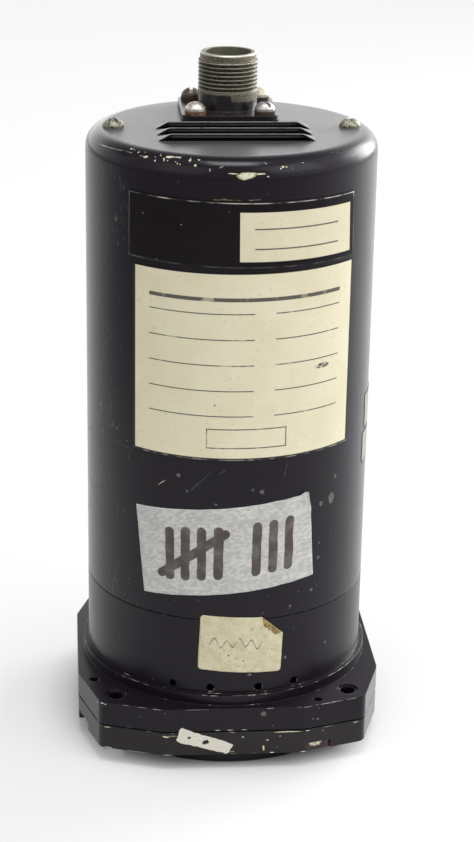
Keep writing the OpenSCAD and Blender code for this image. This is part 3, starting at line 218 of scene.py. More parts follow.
# %% Floor and light
def floor_finish():
    """White paper with faint clouds, partly washed out towards white by a glow where it is seen or mirrored,
    but not under the object. Towards the viewer and the far left it is painted grey, a painted shade that
    stands for a dimmer room there, which the dark sides of the can mirror, and it is clear from below."""
    made, at = start("floor_paper")
    x, y, _ = split(at)
    out = (x * x + y * y) ** 0.5
    # The grey zones are painted shade: the paper is darkened towards the viewer and the far left to stand for
    # a dimmer room there.
    front, left = smooth(y, -0.20, -0.55), smooth(x, -0.18, -0.38) * smooth(y, 0.36, 0.10)
    left = math_of("MAXIMUM", left, smooth(x + 0.15 * y, -0.40, -0.90))
    far = math_of("MAXIMUM", 0.80 * front, 0.92 * left)
    shade = tint(noise(at, 0.3), (0.70, 0.70, 0.70), (0.72, 0.72, 0.72))
    shade = tint(far, shade, (0.26, 0.26, 0.26))
    paper = at.node("ShaderNodeBsdfDiffuse", {}, {"Color": shade})
    path = at.node("ShaderNodeLightPath")
    seen = path + path.also("Is Glossy Ray") + path.also("Is Transmission Ray")
    white = at.node("ShaderNodeEmission", {}, {"Color": (1.0, 1.0, 1.0, 1.0), "Strength": 1.0})
    away = smooth(out, 0.038, 0.056)
    level = (0.34 + 0.44 * smooth(y, -0.15, 0.25)) * (1 - 0.8 * smooth(x, 0.10, 0.26) * smooth(y, 0.7, 0.4))
    washed = (level - level * far) * away * math_of("MINIMUM", seen, 1.0)
    paper = at.node("ShaderNodeMixShader", {}, {0: washed, 1: paper, 2: white})
    clear = at.node("ShaderNodeBsdfTransparent")
    behind = at.node("ShaderNodeNewGeometry", {}, {}, "Backfacing")
    at.node("ShaderNodeOutputMaterial", {},
            {"Surface": at.node("ShaderNodeMixShader", {}, {0: behind, 1: paper, 2: clear})})
    return made


def floor_sheet(hole, reach):
    """A flat ring at the height of the object's foot: its columns go round, its rows go out from the
    hole's edge."""
    columns = 96
    turn = np.linspace(0, 2 * np.pi, columns, endpoint=False)
    out = np.array([hole, 0.1, 0.5, reach])[:, None]
    places = np.stack([out * np.cos(turn), out * np.sin(turn), 0 * out * turn], -1)
    row, column = np.arange(len(out) - 1)[:, None] * columns, np.arange(columns)[None, :]
    after = (column + 1) % columns
    quads = np.stack([row + column, row + columns + column, row + columns + after, row + after], -1)
    mesh = bpy.data.meshes.new("floor")
    mesh.from_pydata(places.reshape(-1, 3).tolist(), [], quads.reshape(-1, 4).tolist())
    made = bpy.data.objects.new("floor", mesh)
    bpy.context.scene.collection.objects.link(made)
    mesh.materials.append(floor_finish())


def room():
    """A white room whose level depends on the direction: brightest behind, then at the right, lowest in
    front."""
    world = bpy.data.worlds.new("room")
    bpy.context.scene.world = world
    world.use_nodes = True
    world.node_tree.nodes.clear()
    way = Wire(world.node_tree.nodes.new("ShaderNodeTexCoord").outputs["Generated"])
    x, y, z = split(way)
    low_back = smooth(y, 0.45, 0.9) * smooth(z, 0.5, 0.2)
    high_back = smooth(y, 0.15, 0.4) * smooth(z, 0.40, 0.55)
    glow = 0.60 + 0.40 * smooth(y, -0.1, 0.7) + 0.90 * smooth(x, 0.2, 0.9) + 1.0 * low_back - 0.70 * high_back
    sky = way.node("ShaderNodeBackground", {}, {"Color": (1.0, 1.0, 1.0, 1.0), "Strength": glow})
    way.node("ShaderNodeOutputWorld", {}, {"Surface": sky})


def soft_lamp(name, spot, size, power):
    """A square lamp at a spot in metres that looks at the middle of the can."""
    light = bpy.data.lights.new(name, "AREA")
    light.energy, light.size = power, size
    made = bpy.data.objects.new(name, light)
    can_middle = Vector((0, 0, 0.09))
    away = Vector(spot) - can_middle
    made.matrix_world = Matrix.Translation(spot) @ away.to_track_quat("Z", "Y").to_matrix().to_4x4()
    made.visible_camera = False
    bpy.context.scene.collection.objects.link(made)


floor_sheet(0.0370, 6.0)
room()
soft_lamp("lamp_right", (0.75, -0.60, 0.95), 0.9, 4.2)
soft_lamp("lamp_left", (-0.70, -0.65, 0.75), 0.8, 1.4)
soft_lamp("lamp_behind", (0.75, 0.60, 0.40), 0.5, 9.0)
soft_lamp("lamp_above", (0.0, -0.12, 1.1), 0.36, 4.0)
print("floor and light ready")

# %% [markdown]
# The black paint is sprayed on castings and on the drawn can. It has a faint purple cast, a fine orange
# peel, dust and hairlines. On sharp edges it has rubbed through to pale metal. A bevel node finds those
# edges, and noise breaks the rubbed line up, so no edge has to be drawn by hand.

# %% Black paint
def black_paint(name, wear, sheen, low, high):
    """Two near-black colours in clouds, dust, hairlines, and edges worn through to pale metal where wear is
    above 0. Hands have polished the rounding at the can's closed end, and the ridges of its louvres are
    lightened as a painted highlight. On the flange's right the sides are smoother than the top."""
    made, at = start(name)
    soft, edge = worn_edge(at, 0.00035)
    x, y, z = split(at)
    cloud = noise(at, 0.016, 4, 0.6)
    grain = noise(at, 0.0005, 2)
    base = tint(cloud, low, high)
    dust = spots(at, 0.0030, 0.00018, 0.45) * smooth(noise(at, 0.03), 0.38, 0.56)
    lines = hairlines(at, 0.0009, 9, 0.26) * smooth(noise(at, 0.02), 0.5, 0.66)
    scuffs = hairlines(at, 0.0005, 5, 0.40) * smooth(noise(at, 0.009, 4), 0.48, 0.64)
    scuffs = scuffs * smooth(x, -0.022, -0.032)
    base = tint(dust * 0.7, base, (0.24, 0.23, 0.21))
    base = tint(lines * 0.22 + scuffs * (0.30 - 0.30 * wear), base, (0.17, 0.16, 0.16))
    rub = edge * smooth(noise(at, 0.006, 5, 0.75), 0.70 - 0.12 * wear, 0.76 - 0.12 * wear)
    base = tint(rub, base, (0.46, 0.43, 0.37))
    # Painted highlight: the tops of the louvres' ridges are lightened into a thin bright line.
    ridge_highlight = smooth(z, 0.16757, 0.16770) * smooth(noise(at, 0.004, 4), 0.25, 0.45)
    base = tint(ridge_highlight, base, (0.24, 0.24, 0.25))
    out = (x * x + y * y) ** 0.5
    shoulder = smooth(z, 0.1600, 0.1625) * smooth(out, 0.0325, 0.0340) * smooth(x, 0.030, 0.016)
    dulled = 0.40 * smooth(z, 0.0185, 0.0181) - 0.52 * smooth(z, 0.01785, 0.0177)
    handled = wear * smooth(x, 0.012, 0.032) * dulled
    rough = 0.21 + 0.10 * cloud + 0.08 * grain - 0.09 * shoulder + handled
    peel = bump(grain, 0.000008, soft)
    return close(made, at, base, rough, Metallic=rub * 0.5, Normal=peel,
                 Specular_IOR_Level=0.23, Sheen_Weight=sheen, Sheen_Roughness=0.3)


def dress(finish, *names):
    """Gives a finish to CAD nodes, whose shapes stay as they are."""
    for name in names:
        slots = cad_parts[name].data.materials
        slots.clear()
        slots.append(finish)


black = (0.0048, 0.0028, 0.0062), (0.0084, 0.0054, 0.0102)
# The bezel plate gets a lighter, browner pair of blacks than the can and the housing.
lighter_blacks = (0.0110, 0.0086, 0.0104), (0.0215, 0.0178, 0.0196)
dress(black_paint("paint_black", 0.0, 0.36, *black), "case_can")
dress(black_paint("paint_black_worn", 1.0, 0.12, *black), "front_housing", "glass_ring")
dress(black_paint("paint_black_lighter", 1.0, 0.12, *lighter_blacks), "bezel_plate")
print("painted the case")

# %% [markdown]
# The connector is a bought part: olive plating on its thread, roots between the turns darkened nearly
# to black, and black paint that was brushed over its flange and neck. The darkening follows the depth of
# the thread, so its mask is the distance from the connector's own axis. Its four screws were replaced
# over the years, so each corner has its own metal.

# %% Connector finishes
plug_low, plug_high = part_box("connector_shell")
plug_y = (plug_low.y + plug_high.y) / 2
thread_r = 7.94 * MM
deck_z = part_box("connector_washers")[0].z
thread_foot = deck_z + 4.45 * MM
thread_end = plug_high.z - 1.75 * MM
print("connector axis y", round(plug_y, 5), "deck", round(deck_z, 5), "thread from", round(thread_foot, 5))


def plug_metal():
    """Olive metal with dark thread roots and a bright rim. Below the thread is black paint, worn off on
    the right."""
    made, at = start("olive_metal")
    soft, edge = worn_edge(at, 0.0002)
    x, y, z = split(at)
    off = y - plug_y
    out = (x * x + off * off) ** 0.5
    cloud, fleck = noise(at, 0.003, 5, 0.65), noise(stretched(at, 1.2, 1.2, 1.7), 0.0006, 4, 0.7)
    below_end = smooth(z, thread_end + 0.0001, thread_end - 0.0002)
    turned = smooth(z, thread_foot, thread_foot + 0.0003) * below_end
    deep = smooth(out, thread_r - 0.00005, thread_r - 0.0005) * turned
    metal = tint(cloud, (0.10, 0.088, 0.062), (0.34, 0.31, 0.24))
    metal = tint(smooth(fleck, 0.47, 0.58) * 0.75, metal, (0.050, 0.046, 0.022))
    top_ring = smooth(z, plug_high.z - 0.00035, plug_high.z - 0.0001) * smooth(fleck, 0.68, 0.56)
    metal = tint(top_ring, metal, (0.70, 0.68, 0.61))
    metal = tint(deep * (0.7 + 0.5 * cloud), metal, (0.014, 0.011, 0.008))
    # Pale worn thread crests, brightened further on the top turns as a painted highlight.
    crest_wear_and_highlight = edge * smooth(fleck, 0.36, 0.5) * (0.4 + 0.5 * smooth(z, thread_end - 0.0014, thread_end))
    metal = tint(crest_wear_and_highlight, metal, (0.66, 0.63, 0.56))
    inside = smooth(out, 0.0072, 0.0070) * smooth(z, deck_z, deck_z + 0.001)
    metal = tint(inside, metal, tint(fleck, (0.10, 0.10, 0.07), (0.32, 0.32, 0.25)))
    bare = 0.0017 * smooth(x, 0.0002, 0.0005)
    painted = smooth(z + bare + 0.0005 * (cloud - 0.5), thread_foot - 0.0002, thread_foot - 0.0003)
    rusty = edge * smooth(noise(at, 0.002, 4), 0.52, 0.64)
    black = tint(rusty, tint(cloud, (0.0065, 0.005, 0.007), (0.016, 0.013, 0.014)), (0.10, 0.04, 0.02))
    base = tint(painted, metal, black)
    rough = 0.36 + 0.22 * cloud + 0.18 * deep - 0.20 * painted
    return close(made, at, base, rough, Metallic=0.85 - 0.85 * painted,
                 Normal=bump(fleck * (1.0 - 0.85 * painted), 0.00004, soft))


def corner_screws():
    """Four metals, one for each corner round the connector: x picks left or right, y picks front or
    back."""
    made, at = start("worn_screws")
    soft, edge = worn_edge(at, 0.0002)
    x, y, _ = split(at)
    left, front = smooth(x, 0.001, -0.001), smooth(y, plug_y + 0.001, plug_y - 0.001)
    cloud = noise(at, 0.0012, 4, 0.6)
    behind = tint(left, (0.55, 0.53, 0.41), (0.075, 0.052, 0.036))
    before = tint(left, (0.50, 0.49, 0.48), (0.68, 0.65, 0.57))
    base = tint(front, behind, before)
    base = tint(smooth(cloud, 0.48, 0.72) * 0.7, base, (0.085, 0.06, 0.04))
    base = tint(edge * 0.4, base, (0.72, 0.70, 0.65))
    metal = 0.25 + 0.65 * front
    return close(made, at, base, 0.30 + 0.3 * cloud, Metallic=metal, Normal=bump(cloud, 0.00002, soft))


def rusty_washers():
    """Dark brown steel, with bright rust on the front left washer."""
    made, at = start("rusty_steel")
    x, y, _ = split(at)
    corner = smooth(x, 0.001, -0.001) * smooth(y, plug_y + 0.001, plug_y - 0.001)
    crust = noise(at, 0.0009, 5, 0.7)
    plain = tint(crust, (0.018, 0.012, 0.010), (0.075, 0.040, 0.028))
    rust = tint(crust, (0.12, 0.045, 0.018), (0.36, 0.17, 0.075))
    base = tint(corner * smooth(crust, 0.38, 0.55), plain, rust)
    return close(made, at, base, 0.62 + 0.2 * crust, Metallic=0.2, Normal=bump(crust, 0.00006))


def lacquered_screws():
    """Pale lacquer over steel, with dirt in the slot and thin lacquer on the dome."""
    made, at = start("lacquered_steel")
    soft, edge = worn_edge(at, 0.00025)
    cloud = noise(at, 0.0013, 4, 0.65)
    base = tint(cloud, (0.13, 0.130, 0.092), (0.40, 0.40, 0.31))
    base = tint(smooth(noise(at, 0.0007, 3), 0.50, 0.62), base, (0.060, 0.050, 0.030))
    base = tint(edge * 0.5, base, (0.62, 0.62, 0.54))
    return close(made, at, base, 0.33 + 0.25 * cloud, Metallic=0.55, Normal=bump(cloud, 0.00003, soft))


dress(plug_metal(), "connector_shell")
dress(corner_screws(), "connector_screws")
dress(rusty_washers(), "connector_washers")
dress(lacquered_screws(), "cover_screws")
print("connector dressed")

# %% [markdown]
# Rubber, paper and moulded pieces are dull. One function gives each of them two tones, a fine grain and a
# little relief, and the names of the tones say what the piece is made of.

# %% Dull finishes
def dull(name, dark, bright, rough, size=0.0012, depth=0.00002, spec=0.35):
    """Two tones in fine noise over clouds, with grain that stands that deep."""
    made, at = start(name)
    grain, cloud = noise(at, size, 4, 0.6), noise(at, 12 * size, 3)
    base = tint(0.6 * grain + 0.4 * cloud, dark, bright)
    return close(made, at, base, rough + 0.2 * grain - 0.1, Normal=bump(grain, depth),
                 Specular_IOR_Level=spec)


dress(dull("rubber_black", (0.008, 0.007, 0.007), (0.022, 0.020, 0.020), 0.75),
      "joint_gasket", "glass_seal", "connector_gasket", "inclinometer_plugs")
dress(dull("phenolic", (0.055, 0.026, 0.012), (0.13, 0.062, 0.026), 0.45), "terminal_board", "brush_holder")
dress(dull("insert_black", (0.010, 0.009, 0.009), (0.030, 0.027, 0.026), 0.55), "connector_insert")
dress(dull("carbon", (0.012, 0.012, 0.013), (0.04, 0.04, 0.042), 0.6), "brushes")
dress(dull("lead_cream", (0.42, 0.37, 0.26), (0.60, 0.55, 0.42), 0.5), "lead_wires")
dress(dull("lead_red", (0.28, 0.045, 0.03), (0.45, 0.085, 0.06), 0.5), "flex_leads")
dress(dull("dial_black", (0.007, 0.007, 0.007), (0.014, 0.013, 0.013), 0.8, 0.0004, 0.0000006, 0.2),
      "dial_plate")
dress(dull("needle_white", (0.62, 0.58, 0.48), (0.80, 0.78, 0.70), 0.5), "turn_needle")
dress(dull("capacitor_can", (0.30, 0.22, 0.11), (0.44, 0.34, 0.19), 0.4), "filter_capacitor")
dress(dull("ball_black", (0.004, 0.004, 0.005), (0.012, 0.011, 0.012), 0.2, 0.0012, 0.000002, 0.5),
      "slip_ball")
print("dull pieces dressed")

# %% [markdown]
# The works inside are turned, milled or drawn metal. The tool leaves fine lines along one way of the
# piece, so the noise is drawn out along that way, and age adds darker clouds.

# %% Worked metals
def metal(name, dark, bright, rough, lines=(1, 1, 1), age=0.4, size=0.0005):
    """Two tones in drawn-out noise, with darker clouds. lines makes an axis longer where it is below 1."""
    made, at = start(name)
    drawn, cloud = noise(stretched(at, *lines), size, 3), noise(at, 0.005, 4, 0.6)
    base = tint(smooth(cloud, 0.42, 0.75) * age, tint(drawn, dark, bright), tuple(0.4 * c for c in dark))
    return close(made, at, base, rough + 0.2 * cloud, Metallic=1.0, Normal=bump(drawn, 0.000003))


dress(metal("alloy", (0.46, 0.46, 0.45), (0.66, 0.66, 0.64), 0.32, (1, 1, 0.1)),
      "front_plate", "rear_plate", "cover_posts", "gimbal_frame", "rotor_bearings",
      "damper_arm", "arbor_bridge")
dress(metal("steel", (0.36, 0.36, 0.37), (0.58, 0.58, 0.58), 0.28, (0.1, 1, 1)),
      "frame_pillars", "rotor_shaft", "centring_spring", "damper_piston", "gimbal_stops",
      "inclinometer_clips", "needle_arbor")
dress(metal("brass", (0.42, 0.28, 0.10), (0.66, 0.47, 0.19), 0.30, (1, 0.1, 1)),
      "gear_sector", "gimbal_bushes", "gimbal_pivots", "arbor_bush", "spring_anchor", "rotor_flywheel",
      "terminal_posts", "connector_pins", "damper_cylinder", "index_wires", "connector_nuts")
dress(metal("copper", (0.36, 0.13, 0.06), (0.62, 0.27, 0.13), 0.35, (0.06, 1, 1), 0.5, 0.0009),
      "armature", "commutator", "filter_choke")
dress(metal("magnet_black", (0.05, 0.05, 0.055), (0.11, 0.11, 0.115), 0.5, (1, 1, 1), 0.5), "field_magnet")
dress(metal("nickel_screws", (0.45, 0.44, 0.42), (0.66, 0.65, 0.62), 0.28),
      "frame_screws", "dial_screws", "bezel_screws")
print("works dressed")

# %% [markdown]
# The window is plain sheet glass, and the slip tube is bent glass filled with oil. Both let light
# through, which is one number on the shader, and only the surface has faint smears.

# %% Glass
def glass(name, colour, bend):
    """Clear glass of one colour with faint smears in its polish."""
    made, at = start(name)
    smear = noise(at, 0.009, 3)
    return close(made, at, colour, 0.02 + 0.05 * smear, Transmission_Weight=1.0, IOR=bend)


dress(glass("window_glass", (0.96, 0.98, 0.97), 1.45), "cover_glass")
dress(glass("tube_glass", (0.93, 0.97, 0.90), 1.40), "inclinometer_tube")
print("glass dressed")

# %% [markdown]
# Most new pieces are thin sheets on the can. Each is a grid of places worked out at once from two
# parameters. One helper turns such a grid into a mesh with its own flat coordinates, merges a pole and
# gives the sheet a thickness.

# %% Grids into pieces
def piece(name, grid, body, finish, wrap=False, thick=0.0):
    """A mesh from a grid of places (rows, columns, 3), or from several grids of one size (grids, rows,
    columns, 3). wrap joins the last column to the first. thick gives the sheet that thickness, in metres,
    behind its face."""
    grids = grid.reshape(-1, *grid.shape[-3:])
    count, rows, columns = grids.shape[:3]
    row = np.arange(rows - 1)[:, None] * columns
    column = np.arange(columns if wrap else columns - 1)[None, :]
    after = (column + 1) % columns
    quads = np.stack([row + column, row + after, row + columns + after, row + columns + column], -1)
    quads = (np.arange(count)[:, None, None] * rows * columns + quads.reshape(-1, 4)).reshape(-1, 4)
    mesh = bpy.data.meshes.new(name)
    mesh.from_pydata(grids.reshape(-1, 3).tolist(), [], quads.tolist())
    flat = np.stack(np.meshgrid(np.linspace(0, 1, columns), np.linspace(0, 1, rows)), -1).reshape(-1, 2)
    corners = np.empty(len(mesh.loops), np.int32)
    mesh.loops.foreach_get("vertex_index", corners)
    spread = np.tile(flat, (count, 1))[corners].astype(np.float32)
    mesh.uv_layers.new(name="sheet").data.foreach_set("uv", spread.ravel())
    build = bmesh.new()
    build.from_mesh(mesh)
    bmesh.ops.remove_doubles(build, verts=build.verts, dist=1e-8)
    build.to_mesh(mesh)
    build.free()
    mesh.shade_smooth()
    mesh.materials.append(finish)
    made = bpy.data.objects.new(name, mesh)
    bpy.context.scene.collection.objects.link(made)
    if thick:
        shell = made.modifiers.new("thickness", "SOLIDIFY")
        shell.thickness, shell.offset = thick, -1
    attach(made, body)
    print(name, len(mesh.vertices), "places", len(mesh.polygons), "faces")
    return made


def sheet_place(at, wide, high):
    """A place on a sheet from its own flat coordinates, in metres from its lower left corner."""
    flat = at.node("ShaderNodeUVMap", {"uv_map": "sheet"})
    return stretched(flat, wide, high, 0)


# %% [markdown]
# The can's side, its rounding and its flat end are taken as one skin. A place on it is an angle round the
# can and a length up its side, so a sheet or a mark is laid out flat and then wrapped.

# %% The can's skin
can_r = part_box("case_can")[1].x
can_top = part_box("connector_gasket")[0].z
can_round = 5.0 * MM


def can_skin(turn, run, lift):
    """A place on the can: turn is the angle from the front to the right, in degrees. run is the length up
    its side in millimetres, which past the side follows the rounding and then the flat end. lift stands
    off it, in millimetres."""
    side = can_top - can_round
    turn, run, lift = np.radians(turn), run * MM, lift * MM
    lean = np.clip((run - side) / can_round, 0, np.pi / 2)
    flat = np.maximum(run - side - can_round * np.pi / 2, 0)
    out = can_r - can_round + (can_round + lift) * np.cos(lean) - flat
    high = np.minimum(run, side) + (can_round + lift) * np.sin(lean)
    return np.stack([out * np.sin(turn), -out * np.cos(turn), high], -1)


def ragged(along, seed, waves=9):
    """A torn line's offset, about from -1 to 1: a sum of sines with seeded lengths and starts."""
    dice = np.random.default_rng(seed)
    length, begin = dice.uniform(4, 60, waves), dice.uniform(0, 7, waves)
    weight = 1 / np.sqrt(length)
    return np.sin(along[..., None] * length + begin) @ weight / np.sqrt((weight ** 2).sum() / 2) * 0.6


def between(corners, u, v):
    """Places inside four corners, top left, top right, lower right, lower left: a blend across, then a
    blend up."""
    tl, tr, br, bl = np.array(corners, float)
    u, v = u[..., None], v[..., None]
    return (1 - v) * ((1 - u) * bl + u * br) + v * ((1 - u) * tl + u * tr)


def square_grid(columns, rows):
    """u across and v up, each from 0 to 1."""
    return np.meshgrid(np.linspace(0, 1, columns), np.linspace(0, 1, rows))


print("can radius", round(can_r, 5), "top", round(can_top, 5))

# %% [markdown]
# Two printed foil plates are glued to the can. The upper one is black with a cream block, and it was
# stuck on a little crooked, so it is made as its own sheet over the frame's plate. The lower one is cream
# inside a black border. Both keep only plain rules and boxes. The print is a set of bands in the sheet's
# own coordinates.

# %% Foil plates
def band(value, low, high, soft=0.00006):
    """1 between low and high, with soft sides."""
    return smooth(value, low - soft, low + soft) * smooth(value, high + soft, high - soft)


def frame_line(across, up, left, low, right, high, width):
    """The outline of a box: the box less a smaller box inside it."""
    inside = band(across, left + width, right - width) * band(up, low + width, high - width)
    return band(across, left, right) * band(up, low, high) * (1 - inside)


def aged_print(at, cream):
    """Cream print that has yellowed in clouds, with fine dirt and a few dark specks."""
    cloud, fine = noise(at, 0.012, 4, 0.6), noise(at, 0.0007, 3)
    aged = tuple(c * k for c, k in zip(cream, (0.90, 0.87, 0.78)))
    base = tint(smooth(cloud, 0.35, 0.75) * 0.55, cream, aged)
    base = tint(smooth(fine, 0.60, 0.75) * 0.35, base, (0.34, 0.29, 0.20))
    return tint(spots(at, 0.006, 0.00028, 0.16), base, (0.10, 0.08, 0.05))


def upper_print(wide, high):
    """Black foil with a pale outline, and a cream block with two rules."""
    made, at = start("foil_black")
    across, up, _ = split(sheet_place(at, wide, high))
    cloud = noise(at, 0.01, 4, 0.6)
    base = tint(cloud, (0.0052, 0.0038, 0.0052), (0.0090, 0.0068, 0.0088))
    rim = frame_line(across, up, 0.0002, 0.0002, wide - 0.0002, high - 0.0002, 0.00022)
    # The pale outline is broken by wear, and along the top edge it is drawn brighter as a painted highlight.
    worn = smooth(noise(at, 0.004, 4), 0.40, 0.62) * (0.22 + 0.78 * smooth(up, 0.9 * high, 0.95 * high))
    base = tint(rim * worn, base, (0.42, 0.40, 0.35))
    block = band(across, 0.472 * wide, 0.972 * wide) * band(up, 0.105 * high, 0.848 * high)
    lines = band(up, 0.585 * high, 0.607 * high) + band(up, 0.285 * high, 0.307 * high)
    rules = band(across, 0.53 * wide, 0.90 * wide) * lines
    base = tint(block, base, tint(rules * 0.85, aged_print(at, (0.70, 0.655, 0.485)), (0.035, 0.032, 0.03)))
    base = tint(spots(at, 0.0030, 0.00018, 0.2) * (1 - block), base, (0.30, 0.28, 0.25))
    return close(made, at, base, 0.30 + 0.12 * cloud + 0.1 * block, Specular_IOR_Level=0.12)


def lower_print():
    """Cream foil inside a black border, ruled in five rows of two fields, with a thick rule and an empty
    box."""
    made, at = start("foil_cream")
    x, y, up = split(at)
    low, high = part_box("lower_foil")
    foil_r = can_r + 0.0003
    across = math_of("ARCTAN2", x, 0 - y) * foil_r
    left, right = math.radians(-44) * foil_r, math.radians(50) * foil_r
    field = band(across, left + 0.0008, right - 0.0006) * band(up, low.z + 0.0006, high.z - 0.0001)
    row = (up - (low.z + 0.0118)) % 0.0068
    columns = band(across, left + 0.0052, left + 0.033) + band(across, left + 0.0385, right - 0.0052)
    rules = band(row, 0.0, 0.0003) * columns * band(up, low.z + 0.011, high.z - 0.009)
    head = band(up, high.z - 0.0072, high.z - 0.0062) * band(across, left + 0.0052, right - 0.0052)
    box = frame_line(across, up, left + 0.021, low.z + 0.0032, right - 0.021, low.z + 0.0086, 0.0003)
    ink = math_of("MINIMUM", rules + head + box, 1.0) * (0.92 - 0.5 * smooth(noise(at, 0.004, 4), 0.55, 0.7))
    base = tint(ink, aged_print(at, (0.72, 0.67, 0.49)), (0.035, 0.032, 0.03))
    scuff = smooth(((across - 0.0228) / 0.0023) ** 2 + ((up - 0.1111) / 0.0007) ** 2, 1.2, 0.7)
    base = tint(scuff * smooth(noise(at, 0.0009, 3), 0.35, 0.55), base, (0.055, 0.045, 0.035))
    rim = smooth(noise(at, 0.004, 4), 0.47, 0.62) * band(up, low.z, low.z + 0.00028, 0.00003)
    base = tint(field, tint(rim, (0.009, 0.008, 0.009), (0.24, 0.22, 0.18)), base)
    grain = noise(at, 0.0006, 2)
    return close(made, at, base, 0.36 + 0.12 * grain, Normal=bump(grain, 0.000006), Specular_IOR_Level=0.4)


u, v = square_grid(160, 24)
plate = between([(-46.3, 156.0), (49.3, 155.2), (50.2, 138.2), (-46.5, 139.1)], u, v)
upper = piece("upper_plate", can_skin(plate[..., 0], plate[..., 1], 0.3), "case",
              upper_print(0.0640, 0.0170), thick=0.25 * MM)
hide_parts("upper_foil")
dress(lower_print(), "lower_foil")

# %% [markdown]
# Below the plates is a strip of cloth tape, and below that a small paper sticker whose corner has folded
# over. Both were torn by hand. Their edges are moved by a sum of sines, and the surface of the tape is
# wrinkled the same way. The strokes on the tape are a plain tally in brown marker.

# %% Tape and sticker
def stroke(across, up, x0, y0, x1, y1, half=0.00125):
    """A pen stroke with round ends: places nearer than half its width to the line between two points."""
    run, rise = x1 - x0, y1 - y0
    share = ((across - x0) * run + (up - y0) * rise) / (run * run + rise * rise)
    share = math_of("MINIMUM", math_of("MAXIMUM", share, 0.0), 1.0)
    off_x, off_y = across - x0 - share * run, up - y0 - share * rise
    return smooth((off_x * off_x + off_y * off_y) ** 0.5, half + 0.0001, half - 0.0001)


def tape_cloth(wide, high):
    """Pale grey cloth: threads across and up, faint dirt, and eight tally strokes that have soaked in."""
    made, at = start("tape_cloth")
    flat = sheet_place(at, wide, high)
    across, up, _ = split(flat)
    thread = noise(stretched(flat, 0.25, 1.5, 1), 0.0007, 3)
    cloud = noise(stretched(flat, 0.5, 1, 1), 0.0035, 5, 0.7)
    fine = noise(stretched(flat, 0.6, 1, 1), 0.0008, 4, 0.65)
    base = tint(smooth(0.55 * fine + 0.45 * cloud, 0.40, 0.58), (0.58, 0.575, 0.55), (0.41, 0.41, 0.405))
    wave = 0.0008 * (noise(flat, 0.006, 2) - 0.5)
    ink = stroke(across + wave, up, 0.0062, 0.0062, 0.0245, 0.0172)
    for x in (0.0085, 0.0128, 0.0172, 0.0217, 0.0318, 0.0363, 0.0408):
        ink = ink + stroke(across + wave, up + wave, x, 0.0055, x + 0.0012, 0.0182)
    ink = math_of("MINIMUM", ink, 1.0) * (0.97 - 0.12 * smooth(noise(flat, 0.0045, 3), 0.40, 0.65))
    base = tint(ink, base, (0.070, 0.055, 0.048))
    base = tint(spots(flat, 0.009, 0.00035, 0.3), base, (0.06, 0.05, 0.045))
    return close(made, at, base, 0.75 + 0.15 * thread, Normal=bump(thread, 0.00004), Specular_IOR_Level=0.25)


def speckled(name, low, high, rough):
    """Two pale tones in fine noise."""
    made, at = start(name)
    fine = noise(at, 0.0007, 4, 0.65)
    return close(made, at, tint(smooth(fine, 0.35, 0.62), low, high), rough, Normal=bump(fine, 0.00003))


def sticker_paper(wide, high):
    """Aged paper with grime in its grain, dark specks and one faded pen wave."""
    made, at = start("sticker_paper")
    flat = sheet_place(at, wide, high)
    across, up, _ = split(flat)
    grain, cloud = noise(flat, 0.0005, 4, 0.7), noise(flat, 0.005, 5, 0.65)
    base = tint(smooth(cloud, 0.35, 0.70), (0.63, 0.585, 0.42), (0.51, 0.46, 0.29))
    base = tint(smooth(grain, 0.52, 0.66) * 0.55, base, (0.36, 0.32, 0.21))
    grime = smooth(noise(flat, 0.0012, 4, 0.7), 0.54, 0.66) * smooth(noise(flat, 0.008, 2), 0.40, 0.58)
    base = tint(grime * 0.55, base, (0.27, 0.235, 0.15))
    base = tint(spots(flat, 0.0042, 0.00030, 0.25), base, (0.07, 0.055, 0.04))
    wave = up - 0.0083 - 0.0011 * math_of("SINE", across * 1900.0) - 0.0004 * math_of("SINE", across * 700.0)
    pen = band(wave, -0.00025, 0.00025, 0.00012) * band(across, 0.0022, 0.0188)
    pen = pen * smooth(noise(flat, 0.004), 0.35, 0.5)
    base = tint(pen * 0.75, base, (0.13, 0.11, 0.10))
    return close(made, at, base, 0.70 + 0.15 * grain, Normal=bump(grain, 0.00003), Specular_IOR_Level=0.25)


u, v = square_grid(180, 60)
tape = between([(-42.5, 72.0), (30.4, 76.5), (33.1, 52.6), (-38.4, 47.7)], u, v)
tape += 0.07 * np.stack([ragged(v, 5) * np.abs(2 * u - 1) ** 40, ragged(u, 7) * np.abs(2 * v - 1) ** 30], -1)
nick = np.clip((u - 0.955) / 0.045, 0, 1) * np.clip((v - 0.80) / 0.20, 0, 1)
tape[..., 0] -= 2.2 * nick ** 1.5
tape[..., 1] += 0.8 * np.clip((u - 0.93) / 0.03, 0, 1) * np.clip((v - 0.9) / 0.1, 0, 1)
lifted = 0.13 + 1.3 * np.clip((u + 0.45 * v - 1.32) / 0.13, 0, 1) ** 2 + 0.03 * ragged(u + 0.35 * v, 9) * v
piece("tape", can_skin(tape[..., 0], tape[..., 1], lifted), "case",
      tape_cloth(0.0485, 0.0245), thick=0.1 * MM)


def round_off(v, high, radius):
    """How far a row stands in from both sides, so that the corners of a sheet of that height are arcs."""
    short = np.maximum(radius - np.minimum(v, 1 - v) * high, 0)
    return radius - np.sqrt(np.maximum(radius ** 2 - short ** 2, 0))


